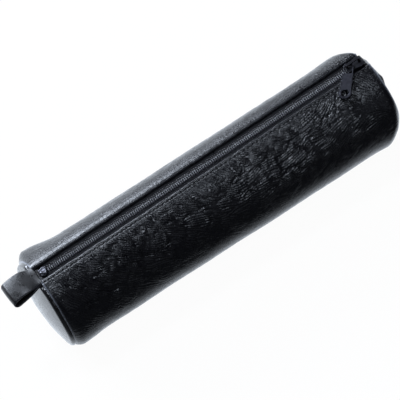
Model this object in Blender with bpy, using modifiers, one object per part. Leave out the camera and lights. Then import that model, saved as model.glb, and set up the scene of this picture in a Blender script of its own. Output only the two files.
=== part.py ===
"""Zipped leather pen pouch: a rolled leather body with two round ends, a coil zip along the top
and a folded strap loop at each end of the zip.

Metres, +Z up. The pouch lies along X on the plane z = 0, its zip on top and its front towards -Y.
The zip closes towards +X. It runs at a small angle to X, as the soft body lies a little twisted.
"""

import math

import bmesh
import bpy
from mathutils import Matrix, Vector

# Body, its leather and its lining
BODY_LENGTH = 0.220
BODY_RADIUS = 0.029
RESTING_WIDTH = 0.026
LEATHER = 0.0012
SEAT_GAP = 0.00025
EDGE_SOFTENING = 0.0010
LEFT_SWELL = 0.0018
RIGHT_SWELL = 0.0008
SWELL_PEAK = 0.0050
SWELL_REACH = 0.0240
RIM_TUCK = 0.0010
TUCK_START_SHARE = 0.04
TUCK_FULL_SHARE = 0.60
TWIST_START = math.radians(24)
TWIST_END = math.radians(64)
LINING = 0.0004
LINING_EASE = 0.0005
LINING_END_TRIM = 0.0022
LINING_ZIP_EASE = 0.0012
LINING_DROP_SHARE = 0.16
LINING_HUG_SHARE = 0.50

# End panels
LEFT_DOME = 0.0045
RIGHT_DOME = -0.0006
RIGHT_PANEL_INSET = 0.0006
SHOULDER_RADIUS = 0.0016
SEAM_ALLOWANCE = 0.0062
NOTCH_EASE = 0.0042

# Zip slot and the turned-in leather edges beside it
SLOT_WIDTH = 0.0098
TURNED_EDGE = 0.0070
FOLD_GAP = 0.0002
EDGE_TRIM = 0.0080
ZIP_ANGLE = math.radians(1.2)

# Zip tapes, coils and core cords
TAPE = 0.00055
HEM_WIDTH = 0.0070
TAPE_FOLD_PLAY = 0.00030
TAPE_INNER_EDGE = 0.0013
ZIP_END_TRIM = 0.0008
CHAIN_WIDTH = 0.0046
COIL_OVERLAP = 0.0015
COIL_HEIGHT = 0.0019
COIL_PITCH = 0.00145
COIL_WIRE = 0.00050
CORE_CORD = 0.0006
STOP_LENGTH = 0.0020
BOTTOM_STOP_LENGTH = 0.0042
BOTTOM_STOP_INSET = 0.0026
STOP_METAL = 0.0006
STOP_SPREAD = 0.0008
CLIP_WIDTH = 0.0014

# Slider
SLIDER_LENGTH = 0.0114
SLIDER_FRONT_WIDTH = 0.0080
SLIDER_REAR_WIDTH = 0.0066
SLIDER_WALL = 0.0007
SLIDER_RUN = 0.00030
SLIDER_END_CLEARANCE = 0.0014
SLIDER_EDGE_ROUND = 0.00025
DIAMOND_LENGTH = 0.0046
DIAMOND_WIDTH = 0.0020
BRIDGE_WIDTH = 0.0012
BRIDGE_LENGTH = 0.0092
BRIDGE_FOOT = 0.0009
BRIDGE_ROOF = 0.0006
BRIDGE_SINK = 0.0003
BRIDGE_FRONT_SLANT = 0.00054
BRIDGE_REAR_SLANT = 0.00018
BRIDGE_CORNER = 0.00027
BRIDGE_SET_BACK = 0.0004

# Pull
PULL_THICKNESS = 0.00084
PULL_BAR = 0.00084
PULL_PLAY = 0.00030
BAR_LIFT = 0.00074
PULL_ARM = 0.0008
PULL_WINDOW_LENGTH = 0.0056
PULL_REACH = 0.0195
PULL_HOLE = 0.0046
PULL_END = 0.0033
PULL_END_WIDTH = 0.0068
PULL_CORNER = 0.0014
PULL_WINDOW_CORNER = 0.0005
PULL_EDGE_ROUND = 0.00015
PULL_RIM = 0.0006
PULL_RIM_PROUD = 0.00018
PULL_YAW = math.radians(48)
PULL_SLOPE = math.radians(4.6)

# Strap loops
STRAP = 0.0012
STRAP_WIDTH = 0.0160
STRAP_GAP = 0.0003
LOOP_REACH = 0.0176
LEFT_LOOP_GAP = 0.0026
RIGHT_LOOP_GAP = 0.0009
LOOP_DROOP = 0.0024
LOOP_ROOT_CLEARANCE = 0.0009
LOOP_RISE = 0.0004
LOOP_SWING_ROOM = 0.0010
HANG_BEND = 0.0026

# Reach of the cutters past what they cut, and the distance within which points are one
OVERRUN = 0.002
WELD = 0.000001

# Shares that shape the surfaces
END_STATION_SHARES = (0, 0.06, 0.21, 0.42, 0.68, 1)
ROUND_STEPS = 36
HOLE_STEPS = 18
LINING_STEPS = 26
FOLD_STEPS = 4
PANEL_STEPS = 36
PANEL_RING_SHARES = (0, 0.45, 0.78)
LOOP_STEPS = 9
LOOP_FOLD_STEPS = 6
COIL_TURN_SHARES = ((0, 0), (0.30, 1), (0.50, 1), (0.80, 0))
TURNED_EDGE_SHARES = (0.5, 1)
HEM_SHARES = (0, 0.5, 1)
SLIDER_REAR_SHARES = ((-1, 0.84), (-0.86, 1), (-0.10, 1))
SLIDER_FRONT_SHARES = ((0.45, 1), (0.78, 0.97), (1, 0.72), (0.92, 0.20))
DIAMOND_SHOULDER_SHARE = 0.5
DIAMOND_FRONT_SHARE = 0.8
SLIDER_MOUTH_SHARE = 0.75

# Values that follow from the sizes above
HALF_LENGTH = BODY_LENGTH / 2
AXIS_HEIGHT = math.sqrt(BODY_RADIUS ** 2 - (RESTING_WIDTH / 2) ** 2)
FOLD_RADIUS = LEATHER + FOLD_GAP / 2
LIP_THICKNESS = 2 * FOLD_RADIUS
HEM_INSET = LIP_THICKNESS + SEAT_GAP
LIP_HEIGHT = AXIS_HEIGHT + math.sqrt(BODY_RADIUS ** 2 - (SLOT_WIDTH / 2 + FOLD_RADIUS) ** 2)
TAPE_TOP = LIP_HEIGHT - HEM_INSET
COIL_TOP = SEAT_GAP + COIL_HEIGHT
TAPE_HINGE = SLOT_WIDTH / 2 + FOLD_RADIUS / 2
PANEL_RADIUS = BODY_RADIUS - RIM_TUCK - LEATHER - SEAT_GAP
LINING_END_RADIUS = PANEL_RADIUS - LEATHER - SEAT_GAP - LINING_EASE
PLATE_UNDERSIDE = COIL_TOP + SLIDER_RUN
PLATE_TOP = PLATE_UNDERSIDE + SLIDER_WALL
FLOOR_TOP = -TAPE - SLIDER_RUN
FLOOR_UNDERSIDE = FLOOR_TOP - SLIDER_WALL
SLIDER_REST = HALF_LENGTH - SLIDER_END_CLEARANCE - SLIDER_LENGTH / 2
DIAMOND_TIP = SLIDER_REST + SLIDER_LENGTH / 2 - DIAMOND_LENGTH
BOTTOM_STOP_MIDDLE = -HALF_LENGTH + BOTTOM_STOP_INSET + BOTTOM_STOP_LENGTH / 2
COIL_START = BOTTOM_STOP_MIDDLE + BOTTOM_STOP_LENGTH / 2 + STOP_SPREAD
COIL_END = DIAMOND_TIP - SLIDER_RUN - COIL_WIRE
BAR_RADIUS = math.hypot(PULL_BAR, PULL_THICKNESS) / 2 - PULL_EDGE_ROUND / 2
BAR_HEIGHT = PLATE_TOP + BAR_LIFT + BAR_RADIUS
ROOF_UNDERSIDE = BAR_HEIGHT + BAR_RADIUS + PULL_PLAY
BRIDGE_REAR = -BRIDGE_LENGTH / 2 - BRIDGE_SET_BACK
LOOP_ROOT_HALF = STRAP + STRAP_GAP / 2
LOOP_HINGE = HALF_LENGTH + LOOP_ROOT_CLEARANCE + LOOP_ROOT_HALF
LOOP_HEIGHT = LIP_HEIGHT - TAPE_TOP - LIP_THICKNESS / 2 + LOOP_RISE

# Frame that everything on the zip line hangs from
zip_frame = Matrix.Translation((0, 0, TAPE_TOP)) @ Matrix.Rotation(ZIP_ANGLE, 4, "Z")


def clear_scene():
    for item in list(bpy.data.objects):
        bpy.data.objects.remove(item, do_unlink=True)


def new_collection(name):
    collection = bpy.data.collections.new(name)
    bpy.context.scene.collection.children.link(collection)
    return collection


def new_material(name, colour, roughness, metallic=0):
    material = bpy.data.materials.new(name)
    material.use_nodes = True
    shader = material.node_tree.nodes["Principled BSDF"]
    shader.inputs["Base Color"].default_value = (*colour, 1)
    shader.inputs["Roughness"].default_value = roughness
    shader.inputs["Metallic"].default_value = metallic
    return material


def new_object(name, data, collection, material=None):
    item = bpy.data.objects.new(name, data)
    collection.objects.link(item)
    if material:
        item.data.materials.append(material)
    return item


def new_empty(name, frame, parent=None):
    """An empty that marks a joint's axis, placed by its frame in its parent."""
    empty = new_object(name, None, pouch)
    empty.parent = parent
    empty.matrix_local = frame
    return empty


def hang(item, parent, place=Matrix.Identity(4)):
    item.parent = parent
    item.matrix_local = place
    return item


def shade_round(mesh, degrees=35):
    mesh.shade_smooth()
    mesh.set_sharp_from_angle(angle=math.radians(degrees))


# Modelling helpers

def sheet_object(name, rows, material, thickness):
    """A sheet of leather or cloth: a flat grid laid over rows of points, thickened to its inside."""
    across = len(rows[0])
    mesh = bpy.data.meshes.new(name)
    shape = bmesh.new()
    bmesh.ops.create_grid(shape, x_segments=len(rows) - 1, y_segments=across - 1, size=1)
    for vertex in shape.verts:
        row = round((vertex.co.x + 1) / 2 * (len(rows) - 1))
        column = round((vertex.co.y + 1) / 2 * (across - 1))
        vertex.co = rows[row][column]
    shape.to_mesh(mesh)
    shape.free()
    item = new_object(name, mesh, pouch, material)
    solidify = item.modifiers.new("thickness", "SOLIDIFY")
    solidify.thickness = thickness
    solidify.offset = -1
    solidify.use_even_offset = True
    shade_round(mesh)
    return item


def box_mesh(name, low, high):
    """A box mesh between two corners."""
    mesh = bpy.data.meshes.new(name)
    shape = bmesh.new()
    bmesh.ops.create_cube(shape, size=1)
    low = Vector(low)
    high = Vector(high)
    size = high - low
    bmesh.ops.transform(shape, matrix=Matrix.Diagonal((*size, 1)), verts=shape.verts)
    bmesh.ops.translate(shape, vec=(low + high) / 2, verts=shape.verts)
    shape.to_mesh(mesh)
    shape.free()
    return mesh


def plate_mesh(name, outlines, thickness):
    """A flat plate in XY, centred on z = 0: the first outline is its edge, the others are holes."""
    curve = bpy.data.curves.new(name, "CURVE")
    curve.dimensions = "2D"
    curve.fill_mode = "BOTH"
    curve.extrude = thickness / 2
    for outline in outlines:
        spline = curve.splines.new("POLY")
        spline.points.add(len(outline) - 1)
        for point, place in zip(spline.points, outline):
            point.co = (place[0], place[1], 0, 1)
        spline.use_cyclic_u = True
    guide = new_object(name + "_outline", curve, cutters)
    mesh = mesh_of(guide, name)
    bpy.data.objects.remove(guide, do_unlink=True)
    return mesh


def mesh_of(item, name):
    """The evaluated mesh of an object, with its loose caps welded on."""
    bpy.context.view_layer.update()
    graph = bpy.context.evaluated_depsgraph_get()
    mesh = bpy.data.meshes.new_from_object(item.evaluated_get(graph))
    mesh.name = name
    shape = bmesh.new()
    shape.from_mesh(mesh)
    bmesh.ops.remove_doubles(shape, verts=shape.verts, dist=WELD)
    bmesh.ops.recalc_face_normals(shape, faces=shape.faces)
    shape.to_mesh(mesh)
    shape.free()
    return mesh


def cutter(name, mesh, parent=None, place=Matrix.Identity(4)):
    """A helper solid that cuts or joins another and is left out of the model."""
    item = new_object(name, mesh, cutters)
    item.hide_render = True
    item.display_type = "WIRE"
    return hang(item, parent, place)


def combine(item, other, operation):
    modifier = item.modifiers.new(other.name, "BOOLEAN")
    modifier.operation = operation
    modifier.solver = "EXACT"
    modifier.object = other


def round_edges(item, width, segments=2, degrees=40):
    bevel = item.modifiers.new("rounding", "BEVEL")
    bevel.width = width
    bevel.segments = segments
    bevel.limit_method = "ANGLE"
    bevel.angle_limit = math.radians(degrees)


def arc(centre, radius, start, end, steps):
    """Points of an arc in the XY plane, from one angle to another in degrees."""
    turns = [math.radians(start + (end - start) * i / steps) for i in range(steps + 1)]
    return [(centre[0] + radius * math.cos(t), centre[1] + radius * math.sin(t)) for t in turns]


def ring(centre, radius):
    """A closed circle of points in the XY plane."""
    return arc(centre, radius, 0, 360, HOLE_STEPS)[:-1]


def rounded_outline(corners, radius, steps=3):
    """A convex outline through these corners, given anticlockwise, each rounded to the radius."""
    outline = []
    for i, corner in enumerate(corners):
        here = Vector(corner)
        back = (Vector(corners[i - 1]) - here).normalized()
        ahead = (Vector(corners[(i + 1) % len(corners)]) - here).normalized()
        half = back.angle(ahead) / 2
        centre = here + (back + ahead).normalized() * radius / math.sin(half)
        start = math.atan2(*reversed((here + back * radius / math.tan(half) - centre)[:]))
        sweep = math.pi - 2 * half
        outline += [
            (centre.x + radius * math.cos(start + sweep * k / steps),
             centre.y + radius * math.sin(start + sweep * k / steps))
            for k in range(steps + 1)
        ]
    return outline


def wire_object(name, points, diameter, material):
    """A round wire through these points."""
    curve = bpy.data.curves.new(name, "CURVE")
    curve.dimensions = "3D"
    curve.bevel_depth = diameter / 2
    curve.bevel_resolution = 0
    curve.use_fill_caps = True
    spline = curve.splines.new("POLY")
    spline.points.add(len(points) - 1)
    for point, place in zip(spline.points, points):
        point.co = (*place, 1)
    return new_object(name, curve, pouch, material)


def smooth_step(value, low, high):
    share = min(max((value - low) / (high - low), 0), 1)
    return share * share * (3 - 2 * share)


# The pouch's skin

def section_radius(radius, drop, angle):
    """Distance from the pouch's axis to a round skin that is flat underneath at this drop."""
    down = -math.cos(angle)
    if down <= 0:
        return radius
    reach = drop / down
    apart = abs(reach - radius)
    softened = max(EDGE_SOFTENING - apart, 0) ** 2 / (4 * EDGE_SOFTENING)
    return min(radius, reach) - softened


def skin_radius(x, angle):
    """Radius of the leather's outside: round, swollen near the seams but not at the zip."""
    inward = HALF_LENGTH - abs(x)
    if inward < SWELL_PEAK:
        rise = math.sin(math.pi / 2 * inward / SWELL_PEAK)
        fade = rise
    else:
        rise = 1
        fade = (1 + math.cos(math.pi * min((inward - SWELL_PEAK) / (SWELL_REACH - SWELL_PEAK), 1))) / 2
    swell = LEFT_SWELL if x < 0 else RIGHT_SWELL
    off_zip = smooth_step(1 - math.cos(angle), TUCK_START_SHARE, TUCK_FULL_SHARE)
    return BODY_RADIUS + (swell * fade - RIM_TUCK * (1 - rise)) * off_zip


def twist(x, angle):
    """How far the skin is drawn sideways: as much as the zip's line on top, nothing lower down."""
    off_top = math.acos(math.cos(angle))
    return x * math.tan(ZIP_ANGLE) * (1 - smooth_step(off_top, TWIST_START, TWIST_END))


def skin_point(x, angle, inset=0, drawn_in=0, lift=0):
    """A point on the skin, or set in from it. The angle starts at the top and opens to the back."""
    radius = skin_radius(x, angle) - inset - drawn_in
    radius = section_radius(radius, AXIS_HEIGHT - inset - lift, angle)
    y = radius * math.sin(angle) + twist(x, angle)
    return Vector((x, y, AXIS_HEIGHT + radius * math.cos(angle)))


def zip_side(side, distance, inset=0):
    """Angle, from the zip's centre line, of a place this far to one side of it."""
    return math.asin(side * distance / (BODY_RADIUS - inset))


def stations(trim):
    """Places along the pouch, close together near the seams."""
    insets = [share * SWELL_REACH for share in END_STATION_SHARES]
    right = [HALF_LENGTH - trim] + [HALF_LENGTH - inset for inset in insets if inset > trim + LEATHER]
    return [-x for x in right] + right[::-1]


def turned_edge(x, side):
    """Grain side of one long edge, from the lip's fold to the edge that lies under the lip."""
    start = zip_side(side, SLOT_WIDTH / 2 + FOLD_RADIUS, FOLD_RADIUS)
    outward = Vector((0, math.sin(start), math.cos(start)))
    to_zip = Vector((0, -side * math.cos(start), side * math.sin(start)))
    centre = skin_point(x, start, FOLD_RADIUS)
    fold = []
    for step in range(FOLD_STEPS + 1):
        turn = math.pi * step / FOLD_STEPS
        swing = outward * math.cos(turn) + to_zip * math.sin(turn)
        fold.append(centre + swing * FOLD_RADIUS)
    trimmed = x * (1 - EDGE_TRIM / HALF_LENGTH)
    end = zip_side(side, SLOT_WIDTH / 2 + TURNED_EDGE, LIP_THICKNESS)
    angles = [start + (end - start) * share for share in TURNED_EDGE_SHARES]
    return fold + [skin_point(trimmed, angle, LIP_THICKNESS) for angle in angles]


def leather_row(x):
    back = turned_edge(x, 1)
    front = turned_edge(x, -1)
    start = zip_side(1, SLOT_WIDTH / 2 + FOLD_RADIUS, FOLD_RADIUS)
    end = 2 * math.pi + zip_side(-1, SLOT_WIDTH / 2 + FOLD_RADIUS, FOLD_RADIUS)
    between = [start + (end - start) * k / ROUND_STEPS for k in range(1, ROUND_STEPS)]
    return back[::-1] + [skin_point(x, angle) for angle in between] + front


def make_leather_body(material):
    return sheet_object("leather_body", [leather_row(x) for x in stations(0)], material, LEATHER)


def lining_row(x):
    """The lining hugs the leather, drops under the zip and draws in inside the end seams."""
    edge = TAPE_HINGE + LINING_ZIP_EASE
    start = zip_side(1, edge, HEM_INSET)
    end = 2 * math.pi + zip_side(-1, edge, HEM_INSET)
    near_end = 1 - smooth_step(HALF_LENGTH - abs(x), SEAM_ALLOWANCE + LEATHER, SWELL_REACH)
    seam_room = (RIM_TUCK + LEATHER + SEAT_GAP + LINING_EASE) * near_end
    row = []
    for k in range(LINING_STEPS + 1):
        angle = start + (end - start) * k / LINING_STEPS
        under_zip = 1 - smooth_step(1 - math.cos(angle), LINING_DROP_SHARE, LINING_HUG_SHARE)
        inset = LEATHER + SEAT_GAP + (HEM_INSET + TAPE - LEATHER) * under_zip
        drawn_in = max(skin_radius(x, angle) - LINING_END_RADIUS - inset, 0)
        row.append(skin_point(x, angle, inset, drawn_in * near_end, seam_room))
    return row


def make_lining(material):
    rows = [lining_row(x) for x in stations(LINING_END_TRIM)]
    return sheet_object("body_lining", rows, material, LINING)


# End panels

def fit_to_section(mesh, frame, radius):
    """Draw a round mesh in at its underside, so that it follows the flattened section."""
    back = frame.inverted()
    inset = BODY_RADIUS - radius
    for vertex in mesh.vertices:
        place = frame @ vertex.co
        angle = math.atan2(place.y, place.z - AXIS_HEIGHT)
        share = section_radius(radius, AXIS_HEIGHT - inset, angle) / radius
        outward = math.hypot(place.y, place.z - AXIS_HEIGHT) / radius
        place.y = place.y * share + twist(place.x, angle) * outward
        place.z = AXIS_HEIGHT + (place.z - AXIS_HEIGHT) * share
        vertex.co = back @ place


def turned_mesh(name, profile, steps):
    """A profile in XZ turned about Z."""
    mesh = bpy.data.meshes.new(name + "_profile")
    edges = [(i, i + 1) for i in range(len(profile) - 1)]
    mesh.from_pydata([(r, 0, z) for r, z in profile], edges, [])
    guide = new_object(name + "_profile", mesh, cutters)
    screw = guide.modifiers.new("turn", "SCREW")
    screw.steps = steps
    screw.render_steps = steps
    screw.use_merge_vertices = True
    screw.merge_threshold = WELD
    mesh = mesh_of(guide, name)
    bpy.data.objects.remove(guide, do_unlink=True)
    return mesh


def end_frame(side, inset=0):
    """Local +Z points out of the pouch's end."""
    place = Matrix.Translation((side * (HALF_LENGTH - inset), 0, AXIS_HEIGHT))
    return place @ Matrix.Rotation(side * math.pi / 2, 4, "Y")


def make_end_panel(name, side, dome, inset, material):
    """A disc of leather, domed outwards, whose edge turns into the body as the seam allowance."""
    shoulder = SHOULDER_RADIUS
    flat = PANEL_RADIUS - shoulder
    profile = [(flat * share, shoulder + dome * (1 - share ** 2)) for share in PANEL_RING_SHARES]
    bend = arc((flat, 0), shoulder, 90, 0, 3)
    profile += bend
    profile.append((PANEL_RADIUS, -SEAM_ALLOWANCE))
    mesh = turned_mesh(name, profile, PANEL_STEPS)
    frame = end_frame(side, inset)
    fit_to_section(mesh, frame, PANEL_RADIUS)
    panel = new_object(name, mesh, pouch, material)
    panel.matrix_world = frame
    solidify = panel.modifiers.new("thickness", "SOLIDIFY")
    solidify.thickness = LEATHER
    solidify.offset = -1
    solidify.use_even_offset = True
    shade_round(mesh, 60)
    cut_notch(panel, "zip_notch", side, SLOT_WIDTH / 2 + NOTCH_EASE, FLOOR_UNDERSIDE - SLIDER_RUN, -SEAT_GAP)
    strap_bottom = LOOP_HEIGHT - LOOP_ROOT_HALF - LOOP_SWING_ROOM
    cut_notch(panel, "strap_notch", side, STRAP_WIDTH / 2 + SEAT_GAP, strap_bottom, OVERRUN)


def cut_notch(panel, name, side, half_width, bottom, outward):
    """A notch in the top of an end panel, from inside its seam allowance outwards."""
    ends = sorted((side * (HALF_LENGTH - SEAM_ALLOWANCE - OVERRUN), side * (HALF_LENGTH + outward)))
    name = panel.name + "_" + name
    mesh = box_mesh(name, (ends[0], -half_width, bottom), (ends[1], half_width, BODY_RADIUS))
    combine(panel, cutter(name, mesh, zip_line), "DIFFERENCE")


def make_end_lining(name, side, panel_inset, material):
    """A flat disc of lining that closes the body lining just inside the end panel."""
    radius = LINING_END_RADIUS - LINING - 2 * SEAT_GAP
    mesh = turned_mesh(name, [(0, LINING), (radius, LINING), (radius, 0), (0, 0)], PANEL_STEPS)
    frame = end_frame(side, LINING_END_TRIM - SEAT_GAP + panel_inset)
    fit_to_section(mesh, frame, radius)
    disc = new_object(name, mesh, pouch, material)
    disc.matrix_world = frame
    cut_notch(disc, "zip_notch", side, SLOT_WIDTH / 2 + NOTCH_EASE, FLOOR_UNDERSIDE - SLIDER_RUN, OVERRUN)
    return disc


# Zip

def make_hem(name, side, material):
    """The tape's sewn margin, curved under the turned-in leather edge."""
    rows = []
    for x in stations(EDGE_TRIM):
        near = zip_side(side, TAPE_HINGE + TAPE_FOLD_PLAY, HEM_INSET)
        far = zip_side(side, TAPE_HINGE + HEM_WIDTH, HEM_INSET)
        row = [skin_point(x, near + (far - near) * share, HEM_INSET) for share in HEM_SHARES]
        rows.append(row if side > 0 else row[::-1])
    return sheet_object(name, rows, material, TAPE)


def make_tape(name, side, hinge, material):
    """The part of the tape that shows in the slot and folds down when the zip opens."""
    half = HALF_LENGTH - ZIP_END_TRIM
    edges = sorted((side * TAPE_INNER_EDGE, side * TAPE_HINGE))
    mesh = box_mesh(name, (-half, edges[0], -TAPE), (half, edges[1], 0))
    tape = new_object(name, mesh, pouch, material)
    return hang(tape, hinge, hinge.matrix_local.inverted())


def coil_points(side):
    """One coil of the chain: a flattened helix whose heads reach over the centre line."""
    head = COIL_OVERLAP / 2 - COIL_WIRE / 2
    heel = -CHAIN_WIDTH / 2 + COIL_WIRE / 2
    low = SEAT_GAP + COIL_WIRE / 2
    high = COIL_TOP - COIL_WIRE / 2
    lag = COIL_PITCH / 2 if side > 0 else 0
    turns = int((COIL_END - COIL_START - COIL_PITCH) / COIL_PITCH)
    points = []
    for turn in range(turns):
        for along, headward in COIL_TURN_SHARES:
            x = COIL_START + lag + (turn + along) * COIL_PITCH
            y = heel + (head - heel) * headward
            rising = along in (COIL_TURN_SHARES[1][0], COIL_TURN_SHARES[0][0])
            points.append((x, -side * y, high if rising else low))
    return points


def make_coil(name, side, hinge, material):
    coil = wire_object(name, coil_points(side), COIL_WIRE, material)
    return hang(coil, hinge, hinge.matrix_local.inverted())


def make_core_cord(name, side, hinge, material):
    y = side * (CHAIN_WIDTH / 2 - COIL_WIRE - SEAT_GAP - CORE_CORD / 2)
    z = SEAT_GAP + COIL_HEIGHT / 2
    cord = wire_object(name, [(COIL_START, y, z), (COIL_END, y, z)], CORE_CORD, material)
    return hang(cord, hinge, hinge.matrix_local.inverted())


def make_bottom_stop(material):
    """A bent metal clip that straddles the chain at its closed end."""
    half = CHAIN_WIDTH / 2
    inner = half - STOP_METAL
    foot = SEAT_GAP
    top = COIL_TOP
    outline = [(-half, foot), (-inner, foot), (-inner, top - STOP_METAL), (inner, top - STOP_METAL)]
    outline += [(inner, foot), (half, foot), (half, top), (-half, top)]
    mesh = plate_mesh("bottom_stop", [outline], BOTTOM_STOP_LENGTH)
    stop = new_object("bottom_stop", mesh, pouch, material)
    round_edges(stop, SLIDER_EDGE_ROUND)
    turn = Matrix.Rotation(math.pi / 2, 4, "Z") @ Matrix.Rotation(math.pi / 2, 4, "X")
    return hang(stop, zip_line, Matrix.Translation((BOTTOM_STOP_MIDDLE, 0, 0)) @ turn)


def make_top_stop(name, side, material):
    """A small clip on one tape's edge, beside the slider's diamond when the zip is closed."""
    near = DIAMOND_WIDTH / 2 + SLIDER_RUN
    start = SLIDER_REST + SLIDER_LENGTH / 2 - STOP_LENGTH - STOP_SPREAD
    edges = sorted((side * near, side * (near + CLIP_WIDTH)))
    mesh = box_mesh(name, (start, edges[0], SEAT_GAP), (start + STOP_LENGTH, edges[1], COIL_TOP - SEAT_GAP))
    stop = new_object(name, mesh, pouch, material)
    round_edges(stop, SLIDER_EDGE_ROUND)
    return hang(stop, zip_line)


# Slider and pull

def slider_outline():
    """Plan of the slider: parallel flanges behind, wide rounded shoulders in front."""
    length = SLIDER_LENGTH / 2
    half = [(length * x, SLIDER_REAR_WIDTH / 2 * y) for x, y in SLIDER_REAR_SHARES]
    half += [(length * x, SLIDER_FRONT_WIDTH / 2 * y) for x, y in SLIDER_FRONT_SHARES]
    mirrored = [(x, -y) for x, y in half]
    return mirrored + half[::-1]


def chain_way(half_width, diamond, low, high):
    """A way through the slider for the chain or the tapes, which parts round the diamond."""
    length = SLIDER_LENGTH / 2
    tip = length - DIAMOND_LENGTH
    shoulder = tip + DIAMOND_LENGTH * DIAMOND_SHOULDER_SHARE
    mouth = max(half_width, SLIDER_FRONT_WIDTH * SLIDER_MOUTH_SHARE)
    side = [(tip, 0), (shoulder, diamond), (length + OVERRUN, diamond * DIAMOND_FRONT_SHARE)]
    side += [(length + OVERRUN, mouth), (tip, half_width), (-length - OVERRUN, half_width)]
    mesh = plate_mesh("chain_way", [side + [(x, -y) for x, y in side[:0:-1]]], high - low)
    mesh.transform(Matrix.Translation((0, 0, (low + high) / 2)))
    return mesh


def bridge_mesh():
    """An arch along the slider, with the tunnel that the pull's bar passes through."""
    rise = ROOF_UNDERSIDE + BRIDGE_ROOF - PLATE_TOP
    front = BRIDGE_REAR + BRIDGE_LENGTH
    corners = [(BRIDGE_REAR, -BRIDGE_SINK), (front, -BRIDGE_SINK)]
    corners += [(front - BRIDGE_FRONT_SLANT, rise), (BRIDGE_REAR + BRIDGE_REAR_SLANT, rise)]
    outline = rounded_outline(corners, BRIDGE_CORNER, 2)
    tunnel_rear = BRIDGE_REAR + BRIDGE_FOOT
    tunnel_front = front - 2 * BRIDGE_FOOT
    roof = ROOF_UNDERSIDE - PLATE_TOP
    tunnel = [(tunnel_rear, 0), (tunnel_front, 0), (tunnel_front, roof), (tunnel_rear, roof)]
    mesh = plate_mesh("bridge", [outline, tunnel], BRIDGE_WIDTH)
    mesh.transform(Matrix.Translation((0, 0, PLATE_TOP)) @ Matrix.Rotation(math.pi / 2, 4, "X"))
    return mesh


def make_slider(material):
    """Two plates joined by the diamond, with flanges round the chain and the bridge on top."""
    mesh = plate_mesh("slider_body", [slider_outline()], PLATE_TOP - FLOOR_UNDERSIDE)
    mesh.transform(Matrix.Translation((0, 0, (PLATE_TOP + FLOOR_UNDERSIDE) / 2)))
    slider = new_object("slider_body", mesh, pouch, material)
    hang(slider, slider_rest)
    round_edges(slider, SLIDER_EDGE_ROUND, degrees=50)
    bridge = cutter("slider_bridge", bridge_mesh(), slider_rest)
    combine(slider, bridge, "UNION")
    chain = chain_way(CHAIN_WIDTH / 2 + SLIDER_RUN, DIAMOND_WIDTH / 2, -TAPE, PLATE_UNDERSIDE)
    combine(slider, cutter("slider_chain_way", chain, slider_rest), "DIFFERENCE")
    tapes = chain_way(SLIDER_FRONT_WIDTH, DIAMOND_WIDTH / 2 - SLIDER_EDGE_ROUND, FLOOR_TOP, 2 * SEAT_GAP)
    combine(slider, cutter("slider_tape_way", tapes, slider_rest), "DIFFERENCE")
    return slider


def window_edges():
    """Inner edges of the pull's window, across the bar: clear of the bridge's foot and side."""
    bar_sine = math.sin(PULL_YAW)
    bar_cosine = math.cos(PULL_YAW)
    half = BRIDGE_WIDTH / 2
    crossing = half * bar_sine / bar_cosine
    foot_front = -crossing - (BAR_RADIUS + PULL_PLAY) / bar_cosine
    foot_rear = foot_front - BRIDGE_FOOT
    behind = -(foot_rear * bar_sine - half * bar_cosine) + PULL_PLAY
    beside = (half + (PULL_THICKNESS / 2 + PULL_PLAY) * bar_sine) / bar_cosine
    return foot_front, behind, beside


def pull_outlines():
    """Outline and window. The bar lies along X at the origin and the tab runs along +Y."""
    behind, beside = window_edges()[1:]
    middle = (behind - beside) / 2
    neck = (behind + beside) / 2 + PULL_ARM
    tail = PULL_END_WIDTH / 2
    far = PULL_REACH + PULL_END
    corners = [(middle - neck, -PULL_BAR / 2), (middle + neck, -PULL_BAR / 2)]
    corners += [(middle + tail, far), (middle - tail, far)]
    outline = rounded_outline(corners, PULL_CORNER)
    window_corners = [(-beside, PULL_BAR / 2), (behind, PULL_BAR / 2)]
    window_end = PULL_BAR / 2 + PULL_WINDOW_LENGTH
    window_corners += [(behind, window_end), (-beside, window_end)]
    window = rounded_outline(window_corners, PULL_WINDOW_CORNER, 2)
    return outline, window, middle


def make_pull(material):
    outline, window, middle = pull_outlines()
    pull = new_object("zip_pull", plate_mesh("zip_pull", [outline, window], PULL_THICKNESS), pouch, material)
    hang(pull, pull_hinge)
    round_edges(pull, PULL_EDGE_ROUND, 1, 60)
    centre = (middle, PULL_REACH)
    outer = ring(centre, PULL_HOLE / 2 + PULL_RIM)
    rim = plate_mesh("pull_rim", [outer], PULL_THICKNESS + 2 * PULL_RIM_PROUD)
    combine(pull, cutter("pull_rim", rim, pull_hinge), "UNION")
    hole = plate_mesh("pull_hole", [ring(centre, PULL_HOLE / 2)], PULL_THICKNESS + OVERRUN)
    combine(pull, cutter("pull_hole", hole, pull_hinge), "DIFFERENCE")
    return pull


# Strap loops

def loop_rows(centre_line, gap):
    """A strap folded in half along a centre line, its two layers opening towards the fold."""
    closed = (STRAP + STRAP_GAP) / 2
    opened = (STRAP + gap) / 2
    straight = LOOP_REACH - opened
    outer = []
    inner = []
    for step in range(LOOP_STEPS + 1):
        run = straight * step / LOOP_STEPS
        half = closed + (opened - closed) * smooth_step(run, 0, straight)
        place, out, up = centre_line(run)
        outer.append(place + up * half)
        inner.append(place - up * half)
    fold = []
    place, out, up = centre_line(straight)
    for step in range(1, LOOP_FOLD_STEPS):
        turn = math.pi * step / LOOP_FOLD_STEPS
        fold.append(place + (up * math.cos(turn) + out * math.sin(turn)) * opened)
    return outer + fold + inner[::-1]


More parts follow.
